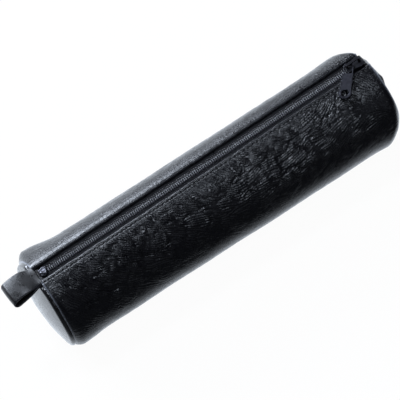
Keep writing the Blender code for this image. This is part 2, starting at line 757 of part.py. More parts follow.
def make_loop(name, side, centre_line, gap, hinge, material):
    path = loop_rows(centre_line, gap)
    rows = []
    for edge in (-side, side):
        rows.append([place + Vector((0, edge * STRAP_WIDTH / 2, 0)) for place in path])
    strap = sheet_object(name, rows, material, STRAP)
    strap.modifiers["thickness"].offset = 0
    return hang(strap, hinge, Matrix.Translation((-side * LOOP_ROOT_HALF, 0, 0)))


def left_line(run):
    """Straight out of the seam with a slight droop."""
    share = run / LOOP_REACH
    slope = math.atan(2 * LOOP_DROOP * share / LOOP_REACH)
    place = Vector((-run, 0, -LOOP_DROOP * share ** 2))
    out = Vector((-math.cos(slope), 0, -math.sin(slope)))
    up = Vector((-math.sin(slope), 0, math.cos(slope)))
    return place, out, up


def right_line(run):
    """Out of the seam, over the rim and down the end panel."""
    turn = min(run / HANG_BEND, math.pi / 2)
    rest = max(run - HANG_BEND * math.pi / 2, 0)
    place = Vector((HANG_BEND * math.sin(turn), 0, -HANG_BEND * (1 - math.cos(turn)) - rest))
    out = Vector((math.cos(turn), 0, -math.sin(turn)))
    up = Vector((math.sin(turn), 0, math.cos(turn)))
    return place, out, up


clear_scene()
pouch = new_collection("pen_pouch")
cutters = new_collection("cutters")

nappa = new_material("black_nappa", (0.012, 0.012, 0.017), 0.42)
textile = new_material("black_lining", (0.010, 0.010, 0.012), 0.85)
webbing = new_material("black_zip_tape", (0.013, 0.013, 0.015), 0.8)
nylon = new_material("grey_nylon", (0.045, 0.045, 0.050), 0.45)
cotton = new_material("grey_core", (0.03, 0.03, 0.032), 0.8)
dark_metal = new_material("gunmetal", (0.09, 0.09, 0.10), 0.42, 1)
bright_metal = new_material("nickel", (0.55, 0.54, 0.52), 0.3, 1)

# Empties on the joints' axes
zip_line = new_empty("zip_line", zip_frame)
slider_rest = new_empty("slider_rest", Matrix.Translation((SLIDER_REST, 0, 0)), zip_line)
bar_place = BRIDGE_REAR + BRIDGE_FOOT - window_edges()[0]
pull_turn = Matrix.Rotation(math.pi / 2 + PULL_YAW, 4, "Z") @ Matrix.Rotation(-PULL_SLOPE, 4, "X")
pull_frame = Matrix.Translation((bar_place, 0, BAR_HEIGHT)) @ pull_turn
pull_hinge = new_empty("pull_hinge", pull_frame, slider_rest)
tape_hinges = {}
for side, word in ((-1, "front"), (1, "back")):
    place = Matrix.Translation((0, side * TAPE_HINGE, -TAPE / 2))
    tape_hinges[side] = new_empty(word + "_tape_hinge", place, zip_line)
left_loop_hinge = new_empty("left_loop_hinge", Matrix.Translation((-LOOP_HINGE, 0, LOOP_HEIGHT)), zip_line)
right_loop_hinge = new_empty("right_loop_hinge", Matrix.Translation((LOOP_HINGE, 0, LOOP_HEIGHT)), zip_line)

# Body
make_leather_body(nappa)
make_lining(textile)
make_end_panel("left_end_panel", -1, LEFT_DOME, 0, nappa)
make_end_panel("right_end_panel", 1, RIGHT_DOME, RIGHT_PANEL_INSET, nappa)
make_end_lining("left_end_lining", -1, 0, textile)
make_end_lining("right_end_lining", 1, RIGHT_PANEL_INSET, textile)

# Zip
for side, word in ((-1, "front"), (1, "back")):
    make_hem(word + "_tape_hem", side, webbing)
    make_tape(word + "_tape", side, tape_hinges[side], webbing)
    make_coil(word + "_coil", side, tape_hinges[side], nylon)
    make_core_cord(word + "_core_cord", side, tape_hinges[side], cotton)
    make_top_stop(word + "_top_stop", side, bright_metal)
make_bottom_stop(bright_metal)
make_slider(dark_metal)
make_pull(dark_metal)

# Loops
make_loop("left_loop", -1, left_line, LEFT_LOOP_GAP, left_loop_hinge, nappa)
make_loop("right_loop", 1, right_line, RIGHT_LOOP_GAP, right_loop_hinge, nappa)
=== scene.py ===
"""Zipped leather pen pouch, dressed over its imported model, on a pale studio floor.

Metres, +Z up. The pouch lies along X with its zip on top and its front towards -Y.
"""

import math

import bmesh
import bpy
import numpy as np
from mathutils import Matrix, Vector


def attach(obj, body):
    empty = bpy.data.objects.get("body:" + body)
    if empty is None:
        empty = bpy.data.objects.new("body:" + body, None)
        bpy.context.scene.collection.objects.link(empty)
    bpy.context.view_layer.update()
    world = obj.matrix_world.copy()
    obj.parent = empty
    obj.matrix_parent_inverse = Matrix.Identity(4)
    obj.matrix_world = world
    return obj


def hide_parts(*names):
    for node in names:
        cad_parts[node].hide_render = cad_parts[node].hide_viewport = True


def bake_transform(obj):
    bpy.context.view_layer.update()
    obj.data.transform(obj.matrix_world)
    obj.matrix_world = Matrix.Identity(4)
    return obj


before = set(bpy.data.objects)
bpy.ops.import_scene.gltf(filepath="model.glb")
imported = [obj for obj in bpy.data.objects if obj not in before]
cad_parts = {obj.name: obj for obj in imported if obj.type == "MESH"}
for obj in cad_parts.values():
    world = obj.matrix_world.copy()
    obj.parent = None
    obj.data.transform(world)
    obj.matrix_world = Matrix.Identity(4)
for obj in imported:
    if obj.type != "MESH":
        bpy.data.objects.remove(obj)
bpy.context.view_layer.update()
MM = 0.001
SAME_PLACE = 0.000004

# Sizes of the pouch. Where the photograph shows a rounder or finer form than the solids, it is given here.
HALF_LENGTH = 0.110
BODY_RADIUS = 0.029
RESTING_WIDTH = 0.026
LEATHER = 0.0012
LINING = 0.0004
EDGE_SOFTENING = 0.0010
SWELL_PEAK = 0.0050
SWELL_REACH = 0.0240
RIM_TUCK = 0.0010
TUCK_START_SHARE = 0.04
TUCK_FULL_SHARE = 0.60
TWIST_START = math.radians(24)
TWIST_END = math.radians(64)
LEFT_DOME = 0.0045
RIGHT_DOME = -0.0016
SLOT_WIDTH = 0.0098
TURNED_EDGE = 0.0070
EDGE_TRIM = 0.008
FOLD_RADIUS = 0.0013
ZIP_ANGLE = math.radians(1.2)
TAPE = 0.00055
TAPE_INNER_EDGE = 0.0013
HEM_WIDTH = 0.0070
CHAIN_WIDTH = 0.0046
COIL_OVERLAP = 0.0015
COIL_PITCH = 0.00128
COIL_WIRE = 0.00050
CORE_CORD = 0.0006
SEAT_GAP = 0.00025
COIL_HEIGHT = 0.0019
COIL_START = -0.1024
COIL_END = 0.1032
ZIP_END_TRIM = 0.0008
BOTTOM_STOP_MIDDLE = -0.1053
STRAP = 0.0012
STRAP_GAP = 0.0003
STRAP_WIDTH = 0.0160
ROOT_CLEARANCE = 0.0009
LOOP_REACH = 0.0176
LEFT_LOOP_GAP = 0.0034
RIGHT_LOOP_GAP = 0.0009
LOOP_DROOP = 0.0024
LOOP_RISE = 0.0004
LOOP_ROOT_HALF = 0.00135
HANG_BEND = 0.0016
HANG_BULGE = 0.0031
HANG_INSET = 0.0034
HANG_DROP = 0.0030
CRIMP_LENGTH = 0.0048
CRIMP_WIDTH = 0.0058
CRIMP_HEIGHT = 0.0028

# Pull: hinge and directions at rest, then its sizes, those of the outline in millimetres
PULL_ORIGIN = np.array((0.100668, 0.002109, 0.055811))
PULL_ACROSS = np.array((-0.75700, 0.65342, 0.0))
PULL_ALONG = np.array((-0.65132, -0.75456, -0.08020))
PULL_THICKNESS = 0.00084
PULL_SOFTENING = 0.00012
PULL_MIDDLE = 0.54
PULL_END = 19.1
PULL_END_RADIUS = 3.85
PULL_HOLE_PLACE = 19.2
PULL_HOLE_RADIUS = 2.2
PULL_RING_RADIUS = 2.72
PULL_BORDER_MIDDLE = 11.2
PULL_BORDER_SHARES = (0.90, 0.972)
PULL_LINE_SINK = 0.00003
PULL_RING_LINE = 0.00022
PULL_BORDER_LINE = 0.00016
PULL_SIDE = ((-0.42, 2.2), (-0.20, 2.6), (0.5, 2.86), (5.2, 2.90), (6.4, 3.15), (7.6, 3.22), (12.5, 3.25), (15.5, 3.40))
PULL_WINDOW = (
    (-1.70, 0.8), (-1.45, 0.42), (2.53, 0.42), (2.78, 0.8), (2.78, 5.6), (2.45, 6.02), (-1.37, 6.02), (-1.70, 5.6),
)

LIP_THICKNESS = 2 * FOLD_RADIUS
HEM_INSET = LIP_THICKNESS + SEAT_GAP
AXIS_HEIGHT = math.sqrt(BODY_RADIUS ** 2 - (RESTING_WIDTH / 2) ** 2)
LIP_HEIGHT = AXIS_HEIGHT + math.sqrt(BODY_RADIUS ** 2 - (SLOT_WIDTH / 2 + FOLD_RADIUS) ** 2)
TAPE_TOP = LIP_HEIGHT - HEM_INSET
TAPE_HINGE = SLOT_WIDTH / 2 + FOLD_RADIUS / 2
LOOP_HINGE = HALF_LENGTH + ROOT_CLEARANCE + LOOP_ROOT_HALF
LOOP_HEIGHT = HEM_INSET - LIP_THICKNESS / 2 + LOOP_RISE
ZIP_COS = math.cos(ZIP_ANGLE)
ZIP_SIN = math.sin(ZIP_ANGLE)


def smooth(value, low, high):
    share = np.clip((value - low) / (high - low), 0, 1)
    return share * share * (3 - 2 * share)


def bell(value, middle, spread):
    return np.exp(-(((value - middle) / spread) ** 2))


def swollen(wave, power):
    """A wave between -1 and 1 made squarer, with its sign kept."""
    return np.sign(wave) * np.abs(wave) ** power


def signed(angle):
    """An angle from the top, brought to between minus and plus half a turn."""
    return (np.asarray(angle, float) + math.pi) % (2 * math.pi) - math.pi


# The pouch's skin. Angles start at the top and open to the back.

# Places around the ends, in degrees from the top towards the back, and their spread
LOW_FRONT = (-122, 40)
HIGH_BACK = (56, 24)
BACK_CORNER = (78, 42)
SWOLLEN_BACK = (52, 42)
LEFT_LEAN_PLACE = (76, 38)
RIGHT_LEAN_PLACE = (42, 30)

# Sizes everywhere, then what each place above adds to them
RIGHT_DRAW_REACH = (0.002, 0.011, 0.007)
RIGHT_DRAW = (0.0002, 0.0090, 0.0050)
LEFT_DRAW_REACH = (0.0025, 0.0040)
LEFT_DRAW = (0.0003, 0.0026)
LEFT_SWELL = (0.0011, 0.0021)
RIGHT_SWELL = (0.0006, 0.0008)
RIGHT_PEAK = (SWELL_PEAK, 0.007)

SKIN_WAVE = 0.00022
LEFT_LEAN = 0.0030
RIGHT_LEAN = 0.0058
LEAN_REACH = 0.018


def around(turn, degrees, spread):
    return bell(turn, math.radians(degrees), math.radians(spread))


def built_up(sizes, *bumps):
    total = sizes[0]
    for size, bump in zip(sizes[1:], bumps):
        total = total + size * bump
    return total


def drawn_in(inward, reach, depth, *bumps):
    return built_up(depth, *bumps) * np.clip(1 - inward / built_up(reach, *bumps), 0, 1) ** 2


def section_radius(radius, drop, angle):
    """Distance from the axis to a round skin that is flat underneath at this drop."""
    down = -np.cos(angle)
    reach = np.where(down > 0, drop / np.maximum(down, 0.01), 1.0)
    apart = np.abs(reach - radius)
    softened = np.maximum(EDGE_SOFTENING - apart, 0) ** 2 / (4 * EDGE_SOFTENING)
    return np.minimum(radius, reach) - softened


def end_draw(x, angle):
    """How far the ends are drawn in: the right one most at the lower front, the left one at the back."""
    turn = signed(angle)
    low_and_high = around(turn, *LOW_FRONT), around(turn, *HIGH_BACK)
    right = drawn_in(HALF_LENGTH - x, RIGHT_DRAW_REACH, RIGHT_DRAW, *low_and_high)
    left = drawn_in(HALF_LENGTH + x, LEFT_DRAW_REACH, LEFT_DRAW, around(turn, *BACK_CORNER))
    return right + left


def skin_radius(x, angle):
    inward = HALF_LENGTH - np.abs(x)
    turn = signed(angle)
    behind = around(turn, *SWOLLEN_BACK)
    peak = np.where(x < 0, SWELL_PEAK, built_up(RIGHT_PEAK, behind))
    rise = np.sin(math.pi / 2 * np.clip(inward / peak, 0, 1))
    fade = (1 + np.cos(math.pi * np.clip((inward - peak) / (SWELL_REACH - SWELL_PEAK), 0, 1))) / 2
    fade = np.where(inward < peak, rise, fade)
    swell = np.where(x < 0, built_up(LEFT_SWELL, behind), built_up(RIGHT_SWELL, behind))
    off_zip = smooth(1 - np.cos(angle), TUCK_START_SHARE, TUCK_FULL_SHARE)
    radius = BODY_RADIUS + (swell * fade - RIM_TUCK * (1 - rise)) * off_zip
    wave = np.sin(x * 41 + 2.2 * np.sin(turn + 0.6)) * np.sin(x * 97 + 1.7 * turn)
    radius = radius + SKIN_WAVE * wave * off_zip * smooth(inward, 0, SWELL_REACH)
    return radius - end_draw(x, angle)


def end_lean(x, angle):
    """How far the ends lean along the pouch: the left one out at the back, the right one in."""
    turn = signed(angle)
    near = 1 - smooth(HALF_LENGTH - np.abs(x), 0, LEAN_REACH)
    left = -LEFT_LEAN * around(turn, *LEFT_LEAN_PLACE) * (x < 0)
    right = -RIGHT_LEAN * around(turn, *RIGHT_LEAN_PLACE) * (x > 0)
    return (left + right) * near


def twist(x, angle):
    off_top = np.arccos(np.cos(angle))
    return x * math.tan(ZIP_ANGLE) * (1 - smooth(off_top, TWIST_START, TWIST_END))


def skin_point(x, angle, inset, relief=0.0, lift=0.0):
    """Points on the skin, or set in from it."""
    x, angle = np.broadcast_arrays(np.asarray(x, float), np.asarray(angle, float))
    radius = section_radius(skin_radius(x, angle) - inset, AXIS_HEIGHT - inset - lift, angle) + relief
    y = radius * np.sin(angle) + twist(x, angle)
    return np.stack([x + end_lean(x, angle), y, AXIS_HEIGHT + radius * np.cos(angle)], -1)


def zip_side(side, distance, inset=0.0):
    return math.asin(side * distance / (BODY_RADIUS - inset))


def zip_points(points):
    """Points given in the zip's frame, moved to the pouch's."""
    points = np.asarray(points, float)
    x = points[..., 0] * ZIP_COS - points[..., 1] * ZIP_SIN
    y = points[..., 0] * ZIP_SIN + points[..., 1] * ZIP_COS
    return np.stack([x, y, points[..., 2] + TAPE_TOP], -1)


# Creases of the leather, as a height map over the rolled-out skin

random = np.random.default_rng(4)
MAP_STEP = 0.00025
MAP_X = 0.1125
MAP_V = 0.0925
map_rows = int(2 * MAP_X / MAP_STEP) + 1
map_columns = int(2 * MAP_V / MAP_STEP) + 1
crease_map = np.zeros((map_rows, map_columns))

# From here on, places, lengths and depths on the map are in millimetres, until it is scaled to metres
map_x = (np.arange(map_rows) * MAP_STEP - MAP_X) / MM
map_v = (np.arange(map_columns) * MAP_STEP - MAP_V) / MM
wave_x = np.fft.fftfreq(map_rows, MAP_STEP / MM)[:, None]
wave_v = np.fft.fftfreq(map_columns, MAP_STEP / MM)[None]
WIDE_DEPTH = 1.15
FINE_DEPTH = 0.13
CREASE_WIDTH = 0.55
CREASE_BEND = 0.004
CREASE_SHOULDER = 0.45
BACK_STRENGTH = 0.16
FLOW_REACH_X = 15
FLOW_REACH_V = 8
FLOW_WAYS = 20
FLOW_FOCUS = 110
UNDERSIDE = (36, 52)
WANDER = 0.16
WANDER_SCALE = 11
FINE_TURN = 0.4
LOOSENESS = 0.85
LOOSENESS_CHANGE = 0.30
LOOSENESS_SCALE = 7
PILLOW_SLOPE = 0.75
PILLOW_LEVEL = 0.45

# Place along and across the front, direction in degrees and strength of the creases there
FRONT_FLOW = (
    (-95, -16, 52, 0.8), (-86, -25, 50, 1.1), (-76, -12, 46, 1.1), (-64, -16, 38, 1.1), (-55, -25, 31, 1.1),
    (-45, -12, 40, 1.0), (-36, -21, 27, 1.1), (-22, -26, 34, 0.9), (-8, -20, 20, 0.6), (-4, -32, 30, 0.5),
    (12, -28, -15, 0.9), (26, -25, -18, 1.0), (37, -15, 32, 0.9), (40, -23, -6, 0.9), (54, -18, 8, 0.9),
    (68, -17, -5, 0.7), (79, -12, -52, 0.8), (89, -21, 30, 0.5), (76, -29, -30, 0.6), (0, -12, 60, 0.35),
    (-104, -20, 60, 0.2), (104, -18, 60, 0.15), (-60, -40, 30, 0.5), (0, -42, 10, 0.35), (70, -42, -20, 0.4),
)


def flow_field():
    """Direction and strength of the creases all over the map."""
    x, v = np.meshgrid(map_x, map_v, indexing="ij")
    cosine, sine, strength, total = np.zeros((4, *x.shape))
    for px, pv, degrees, weight in FRONT_FLOW:
        near = np.exp(-((x - px) / FLOW_REACH_X) ** 2 - ((v - pv) / FLOW_REACH_V) ** 2) + 1e-7
        turn = math.radians(2 * degrees)
        cosine += near * math.cos(turn)
        sine += near * math.sin(turn)
        strength += near * weight
        total += near
    front = np.arctan2(-sine, cosine) / 2
    rest = 0.9 * np.sin(x * 0.045 + v * 0.06) + 0.7 * np.sin(v * 0.11 - x * 0.02)
    strength = strength / total * (1 - 0.8 * smooth(-v, *UNDERSIDE))
    return np.where(v < 0, front, rest), np.where(v < 0, strength, BACK_STRENGTH)


def turned(x, v, turn):
    """Places or waves on the map, along and across a direction."""
    return x * math.cos(turn) + v * math.sin(turn), v * math.cos(turn) - x * math.sin(turn)


def folded_noise(direction, spacing, run, spread):
    """Noise whose waves lie across the given direction, so that its zero lines run along it."""
    white = np.fft.fft2(random.standard_normal((map_rows, map_columns)))
    total, weight = np.zeros((2, map_rows, map_columns))
    for step in range(FLOW_WAYS):
        turn = math.pi * step / FLOW_WAYS
        along, across = turned(wave_x, wave_v, turn)
        band = np.exp(-((np.abs(across) - 0.5 / spacing) * spacing / spread) ** 2) * np.exp(-(along * run) ** 2)
        layer = np.real(np.fft.ifft2(white * band))
        near = np.abs(np.cos(direction - turn)) ** FLOW_FOCUS
        total += layer / layer.std() * near
        weight += near ** 2
    return total / np.sqrt(weight)


def drift(scale):
    """Slow noise of unit size over the map."""
    slow = np.exp(-(wave_x ** 2 + wave_v ** 2) * scale ** 2)
    layer = np.real(np.fft.ifft2(np.fft.fft2(random.standard_normal((map_rows, map_columns))) * slow))
    return layer / layer.std()


def map_span(middle, reach, edge, count):
    """The part of one of the map's axes that lies within reach of a place."""
    low, high = (int((place + edge / MM) / (MAP_STEP / MM)) for place in (middle - reach, middle + reach))
    return slice(max(low, 0), min(high + 2, count))


def press(x, v, direction, length, depth):
    """One crease pressed into the map, a shallow valley between two soft shoulders."""
    width = CREASE_WIDTH
    reach = length / 2 + 3.5 * width
    rows = map_span(x, reach, MAP_X, map_rows)
    columns = map_span(v, reach, MAP_V, map_columns)
    du, dv = np.meshgrid(map_x[rows] - x, map_v[columns] - v, indexing="ij")
    along, across = turned(du, dv, direction)
    across = across - CREASE_BEND * along ** 2
    ends = np.clip(1 - (np.abs(along) / (length / 2)) ** 2, 0, 1)
    valley = np.exp(-(across / width) ** 2)
    valley -= CREASE_SHOULDER * np.exp(-((np.abs(across) - 1.9 * width) / width) ** 2)
    crease_map[rows, columns] -= depth * ends * valley


def pillowed(layer, softness):
    """Noise made into pillows with narrow valleys where it was zero."""
    return np.tanh(PILLOW_SLOPE * np.sqrt(layer ** 2 + softness)) - PILLOW_LEVEL


def crinkle():
    """Small pillows of leather between creases, in two sizes."""
    direction, strength = flow_field()
    direction = direction + WANDER * drift(WANDER_SCALE)
    pillows = pillowed(folded_noise(direction, spacing=1.30, run=13.0, spread=0.24), 0.015)
    grains = pillowed(folded_noise(direction + FINE_TURN, spacing=0.90, run=5.0, spread=0.25), 0.03)
    loose = np.clip(LOOSENESS + LOOSENESS_CHANGE * drift(LOOSENESS_SCALE), 0.3, 1.5)
    crease_map[:] += WIDE_DEPTH * pillows * strength * loose + FINE_DEPTH * grains * (0.4 + 0.6 * strength)


def crease_named():
    """The few long creases that stand out: place, direction in degrees, length and depth of each."""
    for x, v, degrees, length, depth in (
        (69.5, -17.6, 3, 17, 0.30), (60, -19.6, 9, 12, 0.22), (22, -27, 17, 20, 0.22), (33, -22.5, 12, 14, 0.20),
        (-90, -21, -50, 20, 0.20), (-84, -24, -48, 18, 0.18), (-70, -17, -40, 16, 0.20), (-60, -20, -36, 15, 0.20),
        (-50, -17, -38, 16, 0.20), (-41, -21, -30, 15, 0.18), (-30, -24, -28, 13, 0.16), (45, -16, -30, 12, 0.2),
    ):
        press(x, v, math.radians(degrees), length, depth)


crinkle()
crease_named()
crease_map *= MM


def sample_map(x, v):
    """Height of the crease map at places along and across the skin, in metres."""
    row = np.clip((x + MAP_X) / MAP_STEP, 0, map_rows - 1.001)
    column = np.clip((v + MAP_V) / MAP_STEP, 0, map_columns - 1.001)
    i = row.astype(int)
    j = column.astype(int)
    a = row - i
    b = column - j
    top = crease_map[i, j] * (1 - b) + crease_map[i, j + 1] * b
    low = crease_map[i + 1, j] * (1 - b) + crease_map[i + 1, j + 1] * b
    return top * (1 - a) + low * a


STITCH_LINE = 0.0075
STITCH_PITCH = 0.0030
GROOVE_DEPTH = 0.00016
GROOVE_WIDTH = 0.00042
GROOVE_SHOULDER = 0.00012
SHOULDER_PLACES = (-0.0010, 0.0011)
SHOULDER_WIDTH = 0.0006
HOLE_DEPTH = 0.00030
BACK_GROOVE_SHARE = 0.10
CREASES_FROM_RIM = (0.0015, 0.010)
CREASES_FROM_ZIP = (0.0086, 0.0112)
SEAM_INWARD = 0.0021
SEAM_WIDTH = 0.0007
SEAM_DEPTH = 0.00006
SEAM_PUCKER = 0.00004
PUCKER_INWARD = 0.0040
PUCKER_WIDTH = 0.0016
PUCKER_DEPTH = 0.00005
PUCKER_RUN = 0.00034
PUCKER_DRIFT_RUN = 0.0021
FINE_PUCKER_RUN = 0.00021
PUCKERS_FROM_ZIP = (0.0075, 0.0110)
RIM_ROLL = 0.0005
RIM_ROLL_DEPTH = 0.0006


def relief(x, angle):
    """Height of the leather's surface over its plain skin."""
    x, angle = np.broadcast_arrays(np.asarray(x, float), np.asarray(angle, float))
    v = BODY_RADIUS * signed(angle)
    inward = HALF_LENGTH - np.abs(x)
    height = sample_map(x, v) * smooth(inward, *CREASES_FROM_RIM) * smooth(np.abs(v), *CREASES_FROM_ZIP)
    off_line = np.abs(v) - BODY_RADIUS * math.asin(STITCH_LINE / BODY_RADIUS)
    holes = 0.5 + 0.5 * np.cos(2 * math.pi * x / STITCH_PITCH)
    sewn = np.where(v < 0, 1.0, BACK_GROOVE_SHARE)
    height -= sewn * (GROOVE_DEPTH + HOLE_DEPTH * holes ** 3) * bell(off_line, 0, GROOVE_WIDTH)
    height += GROOVE_SHOULDER * sum(bell(off_line, place, SHOULDER_WIDTH) for place in SHOULDER_PLACES)
    pucker = np.sin(v / PUCKER_RUN + 3 * np.sin(v / PUCKER_DRIFT_RUN)) + 0.6 * np.sin(v / FINE_PUCKER_RUN)
    valley = bell(inward, SEAM_INWARD, SEAM_WIDTH) * (SEAM_DEPTH + SEAM_PUCKER * pucker)
    valley = valley + bell(inward, PUCKER_INWARD, PUCKER_WIDTH) * PUCKER_DEPTH * pucker
    height -= valley * smooth(np.abs(v), *PUCKERS_FROM_ZIP)
    roll = np.clip(1 - inward / RIM_ROLL, 0, 1)
    return height - RIM_ROLL_DEPTH * (1 - np.sqrt(1 - np.minimum(roll, 0.999) ** 2))


# Mesh helpers

def full_turn(count):
    return np.linspace(0, 2 * math.pi, count, endpoint=False)


def stacked(*parts):
    return np.stack(np.broadcast_arrays(*parts), -1)


def unit(vectors):
    return vectors / np.linalg.norm(vectors, axis=-1, keepdims=True)


def length_along(path):
    return np.concatenate([[0], np.cumsum(np.linalg.norm(np.diff(path, axis=0), axis=1))])


def add_object(name, data):
    item = bpy.data.objects.new(name, data)
    bpy.context.scene.collection.objects.link(item)
    return item


def surface_object(name, vertices, faces, coordinates, wear_and_highlight=None, smooth_shading=True):
    """A mesh that carries its own texture place, so that patterns follow the surface."""
    mesh = bpy.data.meshes.new(name)
    vertices = np.reshape(vertices, (-1, 3))
    mesh.from_pydata(vertices.tolist(), [], [tuple(int(i) for i in face) for face in faces])
    place = mesh.attributes.new("surface", "FLOAT_VECTOR", "POINT")
    place.data.foreach_set("vector", np.asarray(coordinates, np.float32).ravel())
    # Per point, how much paler the leather is: partly wear, partly a painted highlight.
    shade = mesh.attributes.new("wear_and_highlight", "FLOAT", "POINT")
    shade.data.foreach_set("value", np.asarray(np.zeros(len(vertices)) if wear_and_highlight is None else wear_and_highlight, np.float32).ravel())
    mesh.validate()
    if smooth_shading:
        mesh.shade_smooth()
    return add_object(name, mesh)


def grid_faces(rows, columns, closed=False):
    """Quads over a grid of points, row by row."""
    index = np.arange(rows * columns).reshape(rows, columns)
    ahead = np.roll(index, -1, axis=1) if closed else index[:, 1:]
    here = index if closed else index[:, :-1]
    quads = np.stack([here[:-1], here[1:], ahead[1:], ahead[:-1]], -1)
    return quads.reshape(-1, 4).tolist()


def capped_faces(rows, columns):
    """Quads of a tube and the two faces that close it."""
    last = (rows - 1) * columns
    return grid_faces(rows, columns, closed=True) + [list(range(columns)), list(range(last, last + columns))[::-1]]


def thicken(item, thickness, offset=-1):
    solidify = item.modifiers.new("thickness", "SOLIDIFY")
    solidify.thickness = thickness
    solidify.offset = offset
    return item


def sheet_piece(name, points, thickness, coordinates=None, wear_and_highlight=None):
    """A thick sheet over a grid of points, with its grain side where the points are."""
    rows, columns = points.shape[:2]
    if coordinates is None:
        along = np.broadcast_to(points[:, :1, 0], (rows, columns))
        step = np.linalg.norm(np.diff(points, axis=1), axis=-1)
        across = np.concatenate([np.zeros((rows, 1)), np.cumsum(step, axis=1)], axis=1)
        coordinates = np.stack([along, across, np.zeros((rows, columns))], -1)
    return thicken(surface_object(name, points, grid_faces(rows, columns), coordinates, wear_and_highlight), thickness)


def applied(item):
    """The object with its modifiers made part of its mesh."""
    bpy.context.view_layer.update()
    graph = bpy.context.evaluated_depsgraph_get()
    mesh = bpy.data.meshes.new_from_object(item.evaluated_get(graph), preserve_all_data_layers=True, depsgraph=graph)
    item.modifiers.clear()
    old = item.data
    item.data = mesh
    bpy.data.meshes.remove(old)
    return item


def tube(points, radius, sides, caps=True):
    """Vertices, faces and texture places of a round tube along points."""
    points = np.asarray(points, float)
    tangent = unit(np.gradient(points, axis=0))
    side = np.zeros_like(points)
    carried = np.cross(tangent[0], (0.3, 0.5, 0.81))
    for i, ahead in enumerate(tangent):
        carried = unit(carried - ahead * carried.dot(ahead))
        side[i] = carried
    up = np.cross(side, tangent)
    turn = full_turn(sides)
    radius = np.broadcast_to(radius, (len(points),))
    ring = side[:, None] * np.cos(turn)[None, :, None] + up[:, None] * np.sin(turn)[None, :, None]
    vertices = points[:, None] + ring * radius[:, None, None]
    place = stacked(length_along(points)[:, None], (turn * radius.mean())[None, :], 0.0)
    faces = capped_faces(len(points), sides) if caps else grid_faces(len(points), sides, closed=True)
    return vertices.reshape(-1, 3), faces, place.reshape(-1, 3)


def joined(parts):
    """Several vertex, face and place lists as one."""
    vertices, faces, places = [], [], []
    count = 0
    for part_vertices, part_faces, part_places in parts:
        vertices.append(part_vertices)
        places.append(part_places)
        faces += [[i + count for i in face] for face in part_faces]
        count += len(part_vertices)
    return np.concatenate(vertices), faces, np.concatenate(places)


# Leather body

FOLD_STEPS = 10
UNDER_SHARES = np.array((0.33, 0.66, 1.0))
UNDER_RUN = np.array((2, 4, 6)) * MM
RIM_STATIONS = np.array((0, 0.06, 0.16, 0.30, 0.48, 0.70, 0.95, 1.25, 1.6, 2.0, 2.4, 2.8)) * MM
STATIONS = 840
STATIONS_START = 0.0033
ANGLE_MARKS = (100, 250)
ANGLE_STEPS = (0.0007, 0.0013, 0.00026)
# Lips and rims of the body are paler, partly from wear and partly as a painted highlight along the turned edges.
LIP_WEAR_AND_HIGHLIGHT = 0.05
LIP_WEAR_AND_HIGHLIGHT_BAND = (0.0016, 0.0012)
RIM_WEAR_AND_HIGHLIGHT_BAND = (0.0004, 0.0005)
LIP_RIPPLE = 0.00010
FINE_LIP_RIPPLE = 0.00007


def fold_points(x, side):
    """Grain side of one long edge: the lip's fold, then the edge that lies under the lip."""
    start = zip_side(side, SLOT_WIDTH / 2 + FOLD_RADIUS, FOLD_RADIUS)
    ripple = LIP_RIPPLE * np.sin(x * 310 + side) + FINE_LIP_RIPPLE * np.sin(x * 730 + 2 * side)
    outward = np.array((0, math.sin(start), math.cos(start)))
    to_zip = np.array((0, -side * math.cos(start), side * math.sin(start)))
    centre = skin_point(x, start, FOLD_RADIUS)
    turn = math.pi * np.arange(FOLD_STEPS + 1) / FOLD_STEPS
    swing = outward[None] * np.cos(turn)[:, None] + to_zip[None] * np.sin(turn)[:, None]
    fold = centre[:, None] + swing[None] * (FOLD_RADIUS + ripple[:, None, None] * np.sin(turn)[None, :, None])
    end = zip_side(side, SLOT_WIDTH / 2 + TURNED_EDGE, LIP_THICKNESS)
    angles = start + (end - start) * UNDER_SHARES
    trimmed = x * (1 - EDGE_TRIM / HALF_LENGTH)
    under = skin_point(trimmed[:, None], angles[None], LIP_THICKNESS)
    return np.concatenate([fold, under], axis=1)


def body_stations():
    """Places along the body, closer together at its rims."""
    middle = np.linspace(-HALF_LENGTH + STATIONS_START, HALF_LENGTH - STATIONS_START, STATIONS)
    return np.concatenate([-HALF_LENGTH + RIM_STATIONS, middle, (HALF_LENGTH - RIM_STATIONS)[::-1]])


def body_angles():
    """Angles around the body, closest together on its front."""
    start = zip_side(1, SLOT_WIDTH / 2 + FOLD_RADIUS, FOLD_RADIUS)
    marks = (start, *map(math.radians, ANGLE_MARKS), 2 * math.pi - start)
    parts = []
    for low, high, step in zip(marks, marks[1:], ANGLE_STEPS):
        parts.append(np.linspace(low, high, int((high - low) * BODY_RADIUS / step), endpoint=False))
    return np.concatenate(parts)[1:]


def make_body():
    x = body_stations()
    angles = body_angles()
    between = skin_point(x[:, None], angles[None], 0, relief(x[:, None], angles[None]))
    points = np.concatenate([fold_points(x, 1)[:, ::-1], between, fold_points(x, -1)], axis=1)
    v = BODY_RADIUS * angles
    fold = math.pi * FOLD_RADIUS
    fold_run = np.concatenate([np.linspace(0, fold, FOLD_STEPS + 1), fold + UNDER_RUN])
    across = np.concatenate([v[0] - fold_run[::-1], v, v[-1] + fold_run])
    place = stacked(x[:, None], across[None], 0.0)
    # Wear and painted highlight along the lips' folds and the rolled rims at both ends.
    lip = bell(fold_run, *LIP_WEAR_AND_HIGHLIGHT_BAND) * LIP_WEAR_AND_HIGHLIGHT
    lips = np.concatenate([lip[::-1], np.zeros(len(v)), lip])
    rim = bell(HALF_LENGTH - np.abs(x), *RIM_WEAR_AND_HIGHLIGHT_BAND)
    return sheet_piece("leather_body_skin", points, LEATHER, place, np.maximum(lips[None], rim[:, None]))


# End panels and linings

